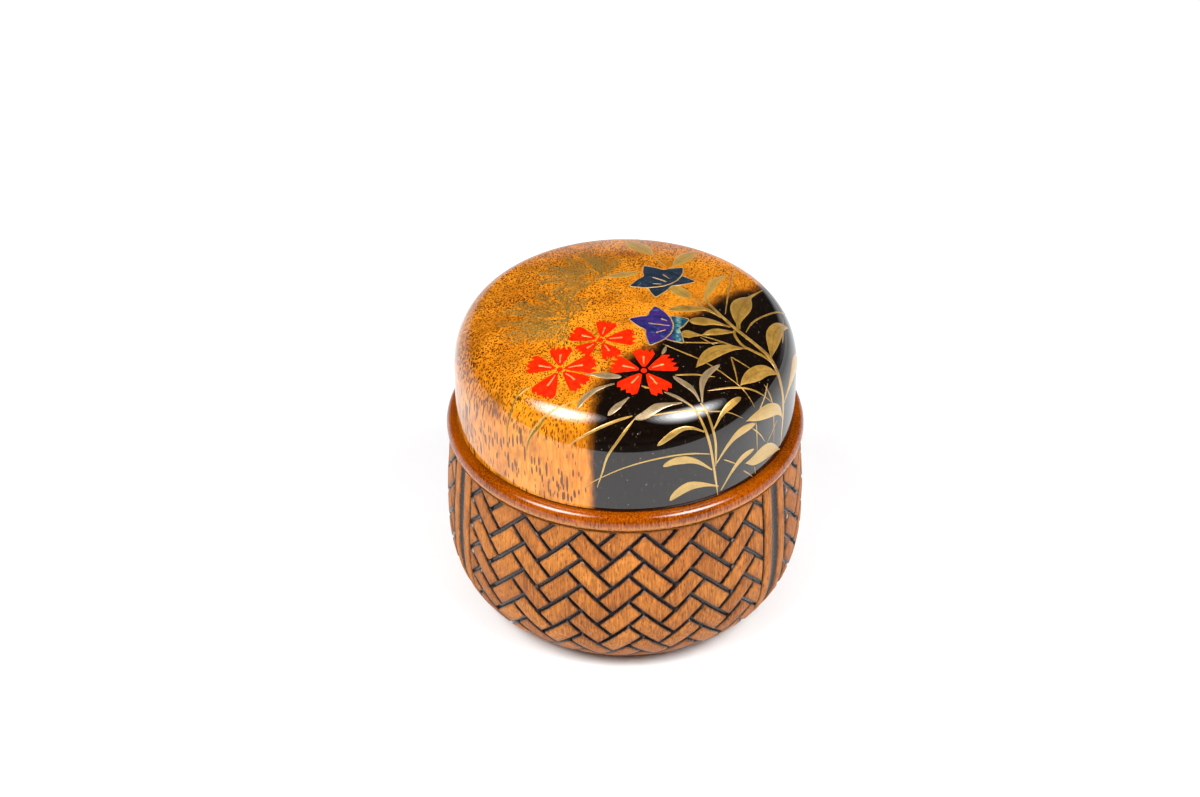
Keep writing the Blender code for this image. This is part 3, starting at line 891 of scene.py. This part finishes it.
# Fern sprays: where the fronds start, and their tips.
SPRAYS = (
    ((-4.5, 9.6), ((-12.4, 3.6), (-13.8, 5.9), (-16.9, 9.4), (-17.4, 13.3), (-16.1, 16.3),
                   (-11.8, 19.9), (-9.1, 21.4), (-6.2, 19.9), (-4.4, 18.9), (-1.4, 17.7))),
    ((-10.6, -4), ((-16.9, 6.2), (-13.4, 5.9), (-9.8, 4.9), (-7.8, 2), (-20.9, 3.4), (-23, 1.2),
                   (-24.5, -2.6), (-23.1, -6.8), (-21.6, -9), (-18.4, -9.4), (-14.8, -9.9),
                   (-12.1, -10.8))),
)


HAIR_SPACING = 1.1             # along a frond's rib
HAIR_LEAN = 21                 # degrees from the rib, and how much it varies
HAIR_LEAN_VARIES = 6


def fern(origin, tip, gold):
    """A frond: a rib that carries a narrow plume of hairs on its outer part."""
    origin, tip = np.array(origin, float), np.array(tip, float)
    length = np.linalg.norm(tip - origin)
    along = (tip - origin) / length
    left = np.array([-along[1], along[0]])
    bow = 0.05 * length * RNG.uniform(-1, 1)
    def on_rib(t):
        return origin + along * length * t + left * 4 * bow * t * (1 - t)
    stroke(gold, [on_rib(t) for t in (0, 0.33, 0.67, 1)], blade_width(0.30, 0.5), 0.03, 1.0)
    count = int(length / HAIR_SPACING)
    for k in range(count):
        t = 0.24 + 0.72 * k / count
        size = (2.6 * math.sin(math.pi * (0.26 + 0.60 * t)) + 0.3) * RNG.uniform(0.8, 1.2)
        for side in (-1, 1):
            lean = math.radians(HAIR_LEAN + HAIR_LEAN_VARIES * RNG.uniform(-1, 1))
            way = along * math.cos(lean) + side * left * math.sin(lean)
            root = on_rib(t + 0.01 * side)
            bend = root + way * size * 0.5 + side * left * 0.07 * size
            stroke(gold, (root, bend, root + way * size), lambda t: 0.25 - 0.09 * t, 0.025, 0.9)


def decoration(gold_mat, line_mat, dull_mat, grey_mat, fern_mat, red_mat, shell_mats):
    """Everything painted on or let into the lid, as a few named pieces."""
    gold, outline, dull, grey, ferns, red = (Shape() for _ in range(6))
    painted = ((gold, STEMS, lambda width: blade_width(width, 0.6), 0.05, 0.7),
               (gold, LEAVES, leaf_width, 0.045, 0.45),
               (gold, TAILED_LEAVES, tailed_width, 0.045, 0.45),
               (gold, ROUND_LEAVES, round_width, 0.05, 0.4),
               (gold, BLADES, blade_width, 0.04, 0.7),
               (dull, DULL_LEAVES, leaf_width, 0.04, 0.45),
               (dull, DULL_ROUND_LEAVES, blunt_width, 0.035, 0.4),
               (dull, DULL_BLADES, blade_width, 0.04, 0.8),
               (ferns, FAINT_BLADES, blade_width, 0.03, 0.8),
               (grey, GREY_LEAVES, lambda width: round_width(width, 0.5), 0.045, 0.4))
    for shape, lines, width_along, height, step in painted:
        for points, width in lines:
            stroke(shape, points, width_along(width), height, step)
    for origin, tips in SPRAYS:
        for tip in tips:
            fern(origin, tip, ferns)
    for centre, petals in PINKS:
        pink(centre, petals, red, outline)
    shells = bellflower("upper_bellflower", UPPER_TIPS, UPPER_STAMENS, shell_mats[0], outline)
    shells += bellflower("lower_bellflower", LOWER_TIPS, LOWER_STAMENS, shell_mats[1], outline)
    pieces = {"gold_plants": (gold, gold_mat, "gold_powder"),
              "gold_flower_lines": (outline, line_mat, "gold_powder"),
              "faded_gold_leaves": (dull, dull_mat, "gold_powder"),
              "grey_gold_leaves": (grey, grey_mat, "gold_powder"),
              "fern_sprays": (ferns, fern_mat, "gold_powder"),
              "red_pinks": (red, red_mat, "red_lacquer")}
    for name, (shape, mat, slot) in pieces.items():
        piece = shape.build(name, [mat])
        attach(piece, "lid")
    for piece in shells:
        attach(piece, "lid")


# ---- materials --------------------------------------------------------------------------
SOCKETS = {"specular": "Specular IOR Level", "roughness": "Roughness", "metallic": "Metallic",
           "coat_weight": "Coat Weight", "coat_roughness": "Coat Roughness"}


class Nodes:
    """Adds nodes to a tree. An input is a number, a tuple or another node's output."""

    def __init__(self, tree):
        self.tree = tree

    def add(self, kind, inputs=None, **settings):
        node = self.tree.nodes.new(kind)
        for key, value in settings.items():
            setattr(node, key, value)
        for key, value in (inputs or {}).items():
            if isinstance(value, bpy.types.NodeSocket):
                self.tree.links.new(value, node.inputs[key])
            else:
                node.inputs[key].default_value = value
        return node

    def fit(self, value, low, high, to_low=0.0, to_high=1.0):
        """Smooth change from one range to another, held at both ends."""
        return self.add("ShaderNodeMapRange", {"Value": value, "From Min": low, "From Max": high,
                                               "To Min": to_low, "To Max": to_high},
                        interpolation_type="SMOOTHSTEP").outputs[0]

    def math(self, operation, a, b=0.0):
        return self.add("ShaderNodeMath", {0: a, 1: b}, operation=operation).outputs[0]

    def plus(self, a, b):
        return self.math("ADD", a, b)

    def times(self, a, b):
        return self.math("MULTIPLY", a, b)


class Look(Nodes):
    """A procedural Principled material, built up node by node."""

    def __init__(self, name, **constants):
        self.mat = bpy.data.materials.new(name)
        self.mat.use_nodes = True
        super().__init__(self.mat.node_tree)
        self.shader = self.tree.nodes["Principled BSDF"]
        for key, value in constants.items():
            self.shader.inputs[SOCKETS[key]].default_value = value
        place = self.add("ShaderNodeTexCoord").outputs["Object"]
        self.mm = self.add("ShaderNodeVectorMath", {0: place, 1: (1000, 1000, 1000)},
                           operation="MULTIPLY").outputs[0]

    def axis(self, number):
        """Position in mm along one axis."""
        return self.add("ShaderNodeSeparateXYZ", {0: self.mm}).outputs[number]

    def stretched(self, sizes):
        """Position divided by a size in mm along each axis."""
        scale = tuple(1 / size for size in sizes)
        return self.add("ShaderNodeVectorMath", {0: self.mm, 1: scale}, operation="MULTIPLY").outputs[0]

    def noise(self, sizes, detail=3.0, rough=0.55, distortion=0.0):
        return self.add("ShaderNodeTexNoise", {"Vector": self.stretched(sizes), "Scale": 1.0,
                                               "Detail": detail, "Roughness": rough,
                                               "Distortion": distortion}).outputs["Fac"]

    def cells(self, sizes):
        """Distance from the nearest of many scattered points."""
        return self.add("ShaderNodeTexVoronoi", {"Vector": self.stretched(sizes), "Scale": 1.0,
                                                 "Randomness": 1.0}).outputs["Distance"]

    def dots(self, reach, sizes, edge, share=1.0, soft=0.0):
        """Soft-edged dots of a reach that may vary, round scattered points."""
        inside = self.math("SUBTRACT", reach, self.cells(sizes))
        return self.fit(inside, soft, edge, 0.0, share)

    def mix(self, share, a, b, blend="MIX"):
        node = self.add("ShaderNodeMix", data_type="RGBA", blend_type=blend)
        for index, value in ((0, share), (6, a), (7, b)):
            if isinstance(value, bpy.types.NodeSocket):
                self.tree.links.new(value, node.inputs[index])
            elif index:
                node.inputs[index].default_value = (*value, 1.0)
            else:
                node.inputs[index].default_value = value
        return node.outputs[2]

    def value(self, name):
        return self.add("ShaderNodeAttribute", attribute_name=name).outputs["Fac"]

    def drive(self, socket, value):
        self.tree.links.new(value, self.shader.inputs[socket])

    def out(self, color, roughness=None, bump=None, bump_mm=0.02):
        self.drive("Base Color", color)
        if roughness is not None:
            self.drive("Roughness", roughness)
        if bump is not None:
            node = self.add("ShaderNodeBump", {"Height": bump, "Distance": bump_mm * MM,
                                               "Strength": 1.0})
            self.drive("Normal", node.outputs[0])
        return self.mat


def wood_colour(look, deep, middle, pale):
    """Brown wood: broad clouds, fine upright grain and short dark pores."""
    clouds = look.noise((7, 7, 16), 2)
    grain = look.noise((0.32, 0.32, 4.5), 3, 0.6, 0.3)
    color = look.mix(look.fit(clouds, 0.3, 0.7), deep, middle)
    color = look.mix(look.fit(grain, 0.38, 0.66, 0.0, 0.8), color, pale)
    flecks = look.noise((0.42, 0.42, 0.9), 4, 0.7)
    color = look.mix(look.fit(flecks, 0.50, 0.68, 0.0, 0.55), color, tuple(0.7 * c for c in deep))
    pores = look.cells((0.42, 0.42, 2.6))
    dark = look.fit(pores, 0.13, 0.32, 0.8, 0.0)
    return look.mix(dark, color, tuple(0.3 * c for c in deep)), pores


def carved_wood():
    look = Look("carved_wood", specular=0.22, coat_roughness=0.12)
    color, pores = wood_colour(look, (0.195, 0.056, 0.006), (0.35, 0.114, 0.013),
                               (0.51, 0.186, 0.027))
    tone, height = look.value("tone"), look.axis(2)
    darker_tone_and_rim_shade = (0.62, 0.50, 0.42)
    # The blade's scrape marks run along each tile and differ from tile to tile.
    scraped = look.add("ShaderNodeCombineXYZ", {0: look.times(look.value("over"), 4.5),
                                                1: look.times(tone, 37.0),
                                                2: look.times(height, 0.25)}).outputs[0]
    scrapes = look.add("ShaderNodeTexNoise", {"Vector": scraped, "Scale": 1.0, "Detail": 3.0})
    scrapes = scrapes.outputs["Fac"]
    color = look.mix(look.fit(scrapes, 0.50, 0.78, 0.0, 0.55), color, (0.15, 0.042, 0.006))
    color = look.mix(look.fit(tone, 0.75, 0.25, 0.0, 0.6), color, darker_tone_and_rim_shade, "MULTIPLY")
    # Painted shade: the tiles are darkened towards the top, where the rim bead stands over them.
    color = look.mix(look.fit(height, 33.0, 36.6, 0.0, 0.35), color, darker_tone_and_rim_shade, "MULTIPLY")
    # Grooves are filled with glossy black lacquer that has a ragged edge.
    ragged = look.times(look.math("SUBTRACT", look.noise((0.6, 0.6, 0.6), 4), 0.5), 0.50)
    inward = look.plus(look.value("inward"), ragged)
    black = look.fit(inward, 0.46, 0.34)
    color = look.mix(look.fit(inward, 0.72, 0.42, 0.0, 0.65), color, (0.10, 0.026, 0.005))
    color = look.mix(black, color, (0.0070, 0.0024, 0.0008))
    look.drive("Coat Weight", look.times(black, 0.5))
    chips = look.times(look.noise((0.4, 0.4, 0.4), 3), look.plus(0.2, look.times(black, 4.0)))
    bump = look.plus(look.times(look.fit(pores, 0.06, 0.22), 0.4), chips)
    bump = look.plus(bump, look.times(scrapes, 0.9))
    return look.out(color, look.fit(black, 0.0, 1.0, 0.58, 0.30), bump, 0.06)


def polished_rim():
    look = Look("polished_rim", specular=0.0, coat_weight=0.8, coat_roughness=0.10)
    color, pores = wood_colour(look, (0.083, 0.011, 0.0002), (0.178, 0.031, 0.0003),
                               (0.30, 0.069, 0.0008))
    # Painted reflection of the bright floor: the lower part of the bead is made paler and golden.
    lower = look.fit(look.axis(2), RIM_BOTTOM_Z + 2.2, RIM_BOTTOM_Z + 0.9, 0.0, 0.6)
    painted_floor_reflection = look.mix(look.fit(pores, 0.1, 0.5), (0.20, 0.05, 0.003), (0.50, 0.185, 0.022))
    color = look.mix(lower, color, painted_floor_reflection)
    color = look.mix(look.fit(look.value("inward"), 0.7, 0.2), color, (0.008, 0.005, 0.003))
    return look.out(color, look.fit(pores, 0.1, 0.4, 0.38, 0.28))


def black_inside():
    look = Look("black_lacquer_inside", specular=0.1, coat_weight=0.8, coat_roughness=0.06)
    clouds = look.noise((3, 3, 3), 3)
    color = look.mix(clouds, (0.007, 0.006, 0.005), (0.014, 0.011, 0.009))
    return look.out(color, look.fit(clouds, 0.3, 0.7, 0.14, 0.22), clouds, 0.01)


def lid_lacquer():
    """Clear amber lacquer over pored wood, shading into black lacquer."""
    look = Look("amber_and_black_lacquer", specular=0.0, coat_weight=1.0, coat_roughness=0.05)
    side, dense = look.value("side"), look.value("dense")
    clouds = look.noise((8, 8, 22), 3)
    fine = look.noise((0.45, 0.45, 3.6), 3, 0.6)
    color = look.mix(look.fit(clouds, 0.34, 0.66), (0.42, 0.124, 0.0022), (0.54, 0.187, 0.007))
    color = look.mix(look.fit(fine, 0.38, 0.66, 0.0, 0.55), color, (0.60, 0.235, 0.022))
    weave = look.noise((0.50, 0.60, 4.0), 3, 0.65)
    color = look.mix(look.fit(weave, 0.50, 0.62, 0.0, 0.5), color, (0.27, 0.068, 0.0010))
    # Vessels of the wood run upright: dots on the top, and fewer, longer dashes on the side.
    patches = look.fit(look.noise((5.5, 5.5, 9), 3), 0.36, 0.66)
    crowd = look.plus(look.times(patches, 0.08), look.times(dense, 0.07))
    dots = look.dots(look.plus(crowd, 0.37), (0.36, 0.43, 4.0), 0.08, 0.88, -0.02)
    coarse = look.dots(look.plus(crowd, 0.13), (0.80, 0.80, 2.6), 0.05)
    dots = look.times(look.math("MAXIMUM", dots, coarse), look.fit(side, 0.98, 0.45))
    crowd = look.plus(look.times(patches, 0.17), look.times(dense, 0.08))
    dashes = look.dots(look.plus(crowd, 0.20), (0.66, 0.66, 3.3), 0.07)
    long_ones = look.dots(look.plus(crowd, 0.11), (1.0, 1.0, 8.0), 0.04)
    dashes = look.times(look.math("MAXIMUM", dashes, long_ones), look.fit(side, 0.10, 0.55, 0.0, 0.92))
    color = look.mix(look.math("MAXIMUM", dots, dashes), color, (0.060, 0.016, 0.0015))
    large = look.cells((2.2, 2.2, 8.0))
    color = look.mix(look.fit(large, 0.08, 0.13, 0.9, 0.0), color, (0.022, 0.008, 0.003))
    # Brown clouds rise at the left of the top and round the black.
    smoke = look.plus(look.noise((6, 6, 6), 4, 0.6), look.times(dense, 0.05))
    color = look.mix(look.fit(smoke, 0.46, 0.78, 0.0, 0.62), color, (0.17, 0.048, 0.002))
    # Painted shade: the top is darkened against the side, most at its left.
    painted_top_shade = look.times(look.fit(side, 0.9, 0.3), look.fit(dense, 0.0, 1.0, 0.5, 1.0))
    color = look.mix(painted_top_shade, color, (0.84, 0.81, 0.70), "MULTIPLY")
    wobble = look.times(look.math("SUBTRACT", look.noise((2.2, 2.2, 6.0), 4), 0.5), 0.5)
    shade = look.fit(look.plus(look.value("black"), wobble), 0.05, 0.95)
    color = look.mix(look.fit(shade, 0.0, 0.5, 0.0, 0.75), color, (0.12, 0.033, 0.003))
    streaks = look.fit(look.noise((0.35, 0.35, 7.0), 3, 0.6), 0.45, 0.75, 0.0, 0.5)
    black = look.mix(streaks, (0.0026, 0.0013, 0.0008), (0.0075, 0.0045, 0.0032))
    specks = look.fit(look.cells((0.9, 0.9, 2.4)), 0.20, 0.13, 0.0, 0.35)
    black = look.mix(specks, black, (0.060, 0.040, 0.022))
    dust = look.fit(look.cells((1.6, 1.6, 1.6)), 0.075, 0.045, 0.0, 0.8)
    black = look.mix(dust, black, (0.20, 0.19, 0.18))
    color = look.mix(look.fit(shade, 0.1, 0.9), color, black)
    return look.out(color, look.fit(clouds, 0.3, 0.7, 0.35, 0.45))


def gold(name, deep, pale, metallic, rough, coat, specular=0.5):
    """Sprinkled gold powder, brighter along its edges and dark along the middle of a leaf."""
    look = Look(name, metallic=metallic, specular=specular, coat_weight=coat,
                coat_roughness=0.12)
    grains = look.noise((0.16, 0.16, 0.16), 2, 0.7)
    worn = look.noise((1.8, 1.8, 1.8), 4)
    color = look.mix(look.fit(look.plus(grains, look.times(worn, 0.8)), 0.7, 1.1), deep, pale)
    across = look.math("ABSOLUTE", look.value("across"))
    color = look.mix(look.fit(across, 0.62, 0.9, 0.0, 0.5), color, tuple(1.15 * c for c in pale))
    streak = look.noise((0.5, 0.5, 0.5), 2)
    rib = look.times(look.fit(across, 0.02, 0.16, 0.55, 0.0), look.fit(streak, 0.3, 0.6))
    color = look.mix(rib, color, tuple(0.55 * c for c in deep))
    # Painted reflection of the bright floor: down the lid's side the powder is made paler and yellower.
    yellow_floor_reflection = tuple(c * gain for c, gain in zip(pale, (1.10, 1.38, 2.4)))
    low = look.fit(look.axis(2), LID_TOP_Z - 5, LID_TOP_Z - 13, 0.0, 0.55)
    color = look.mix(low, color, yellow_floor_reflection)
    return look.out(color, look.fit(worn, 0.3, 0.7, rough - 0.06, rough + 0.08), grains, 0.02)


def red_lacquer():
    look = Look("red_lacquer", specular=0.06)
    strokes = look.noise((0.8, 0.8, 0.8), 4, 0.6)
    color = look.mix(look.fit(strokes, 0.3, 0.75), (0.32, 0.006, 0.0002), (0.50, 0.015, 0.0005))
    return look.out(color, look.fit(strokes, 0.3, 0.7, 0.32, 0.46), strokes, 0.02)


def shell(name, deep, bright, accent, pale, teal_from):
    """Polished shell in soft bands of colour, teal beyond x = teal_from mm where that is given."""
    look = Look(name, specular=0.1, coat_weight=1.0, coat_roughness=0.06)
    flow = look.noise((4.2, 3.2, 4.0), 3, 0.5, 1.2)
    ripple = look.noise((1.1, 0.5, 1.0), 3, 0.6, 1.5)
    color = look.mix(look.fit(flow, 0.36, 0.62), deep, bright)
    color = look.mix(look.fit(ripple, 0.46, 0.70, 0.0, 0.5), color, accent)
    gleam = look.noise((2.4, 1.3, 2.0), 4, 0.6, 2.0)
    color = look.mix(look.fit(gleam, 0.54, 0.74, 0.0, 0.7), color, pale)
    if teal_from:
        x = look.math("SUBTRACT", look.axis(0), teal_from)
        teal = look.mix(look.fit(ripple, 0.42, 0.66), (0.004, 0.026, 0.040), (0.010, 0.075, 0.095))
        streak = look.times(look.fit(x, 0.5, 1.1), look.fit(x, 1.9, 1.2))
        streak = look.times(streak, look.fit(gleam, 0.36, 0.62, 0.0, 0.4))
        teal = look.mix(streak, teal, (0.30, 0.46, 0.44))
        color = look.mix(look.fit(x, -0.5, 0.7), color, teal)
    return look.out(color, look.fit(ripple, 0.3, 0.7, 0.12, 0.26), ripple, 0.01)


# ---- studio -----------------------------------------------------------------------------
CAMERA_LENS = 104.53           # mm, on a sensor 36 mm wide
CAMERA_PLACE = (0.0, -0.5404, 0.4355)
CAMERA_DOWN = 35.989           # degrees below level
CAMERA_LEFT = 0.514            # degrees to the left of straight back
SOFTBOX_AZIMUTH = 50
SOFTBOX_ELEVATION = 47
SOFTBOX_DISTANCE = 0.60
SOFTBOX_SPACING = 0.004
LIT_PLACE = Vector((0, 0, 0.05))   # what the lights point at
# Discs of each softbox, from the widest: half angle in degrees, and radiance. They add up to
# a light that is brightest in its middle.
SOFTBOX_LAYERS = ((22.5, 1.3), (20.0, 2.4), (17.5, 3.8), (15.0, 5.5), (12.0, 7.5), (8.5, 8.0))
DARK = (0.012, 0.012, 0.013)


def dark_card():
    look = Look("dark_card", roughness=0.9)
    speck = look.noise((40, 40, 40), 2)
    return look.out(look.mix(speck, DARK, tuple(0.985 * c for c in DARK)))


def pale_floor():
    """Pale floor that glows a little far from the object, where the lights do not reach."""
    look = Look("pale_floor", roughness=0.9)
    away = look.add("ShaderNodeVectorMath", {0: look.mm}, operation="LENGTH").outputs["Value"]
    look.shader.inputs["Emission Color"].default_value = (1.0, 1.0, 1.0, 1.0)
    look.drive("Emission Strength", look.fit(away, 350.0, 900.0))
    speck = look.noise((40, 40, 40), 2)
    return look.out(look.mix(speck, (0.72, 0.72, 0.725), (0.71, 0.71, 0.715)))


def flat_plane(name, low_x, high_x, low_y, high_y, z, material):
    mesh = bpy.data.meshes.new(name)
    corners = [(low_x, low_y, z), (high_x, low_y, z), (high_x, high_y, z), (low_x, high_y, z)]
    mesh.from_pydata(corners, [], [(0, 1, 2, 3)])
    mesh.materials.append(material)
    obj = bpy.data.objects.new(name, mesh)
    bpy.context.scene.collection.objects.link(obj)
    return obj


def disc_light(name, azimuth, elevation, distance, half_angle, radiance):
    """Round light that fills half_angle, seen from LIT_PLACE. Azimuth 0 is the camera's side."""
    a, e = math.radians(azimuth), math.radians(elevation)
    way = Vector((math.sin(a) * math.cos(e), -math.cos(a) * math.cos(e), math.sin(e)))
    radius = distance * math.tan(math.radians(half_angle))
    data = bpy.data.lights.new(name, "AREA")
    data.shape = "DISK"
    data.size = 2 * radius
    data.energy = radiance * math.pi * math.pi * radius ** 2
    light = bpy.data.objects.new(name, data)
    light.location = LIT_PLACE + way * distance
    light.rotation_euler = (-way).to_track_quat("-Z", "Y").to_euler()
    light.visible_camera = False
    bpy.context.scene.collection.objects.link(light)
    return light


def studio():
    """Pale floor, a dark card that only reflections see, two softboxes and a weak top light."""
    scene = bpy.context.scene
    scene.view_settings.view_transform = "Standard"
    scene.view_settings.look = "None"
    floor = flat_plane("floor", -4, 4, -3, 5, 0.0, pale_floor())
    floor.visible_shadow = False
    card = flat_plane("dark_card", -3, 3, -3, -0.19, 0.0004, dark_card())
    for ray in ("camera", "diffuse", "shadow", "transmission"):
        setattr(card, "visible_" + ray, False)
    for side, azimuth in (("left", -SOFTBOX_AZIMUTH), ("right", SOFTBOX_AZIMUTH)):
        for k, (half_angle, radiance) in enumerate(SOFTBOX_LAYERS):
            name = "softbox_" + side + "_" + str(k)
            distance = SOFTBOX_DISTANCE + SOFTBOX_SPACING * k
            disc_light(name, azimuth, SOFTBOX_ELEVATION, distance, half_angle, radiance)
    overhead = disc_light("overhead", 180, 82, 0.9, 24, 1.2)
    overhead.visible_glossy = False

    world = bpy.data.worlds.new("studio")
    scene.world = world
    world.use_nodes = True
    nodes = Nodes(world.node_tree)
    # The surroundings glow low down and behind. The camera itself sees them white.
    direction = nodes.add("ShaderNodeTexCoord").outputs["Generated"]
    split = nodes.add("ShaderNodeSeparateXYZ", {0: direction})
    haze = nodes.fit(split.outputs[2], 0.24, 0.02, 0.03, 1.0)
    back = nodes.fit(split.outputs[1], 0.35, 0.97, 0.06, 1.0)
    seen = nodes.add("ShaderNodeLightPath").outputs["Is Camera Ray"]
    background = nodes.tree.nodes["Background"]
    background.inputs["Color"].default_value = (1.0, 1.0, 1.0, 1.0)
    strength = nodes.math("MAXIMUM", seen, nodes.times(haze, back))
    nodes.tree.links.new(strength, background.inputs["Strength"])


def camera():
    data = bpy.data.cameras.new("camera")
    data.lens = CAMERA_LENS
    data.sensor_width = 36.0
    data.clip_start, data.clip_end = 0.01, 50.0
    cam = bpy.data.objects.new("camera", data)
    cam.location = CAMERA_PLACE
    cam.rotation_euler = (math.radians(90 - CAMERA_DOWN), 0.0, math.radians(CAMERA_LEFT))
    bpy.context.scene.collection.objects.link(cam)
    bpy.context.scene.camera = cam


# ---- the scene --------------------------------------------------------------------------
camera()
studio()
body = vessel([carved_wood(), polished_rim(), black_inside()])
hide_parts("caddy_body")
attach(body, "vessel")
cover = lid([lid_lacquer(), black_inside()])
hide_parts("caddy_lid")
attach(cover, "lid")
decoration(gold("gold_powder", (0.200, 0.102, 0.012), (0.41, 0.228, 0.040), 0.5, 0.40, 0.6),
           gold("pale_gold", (0.27, 0.155, 0.042), (0.42, 0.255, 0.08), 0.35, 0.42, 0.25),
           gold("faded_gold", (0.24, 0.130, 0.016), (0.38, 0.218, 0.036), 0.35, 0.50, 0.4),
           gold("grey_gold", (0.175, 0.120, 0.055), (0.29, 0.203, 0.105), 0.45, 0.40, 0.8),
           gold("fern_gold", (0.080, 0.050, 0.006), (0.140, 0.091, 0.012), 0.15, 0.5, 0.0, 0.2),
           red_lacquer(),
           (shell("upper_shell", (0.005, 0.009, 0.015), (0.010, 0.017, 0.030), (0.014, 0.024, 0.036),
                  (0.050, 0.070, 0.110), None),
            shell("lower_shell", (0.008, 0.008, 0.055), (0.024, 0.009, 0.080), (0.010, 0.018, 0.080),
                  (0.06, 0.10, 0.20), 8.7)))
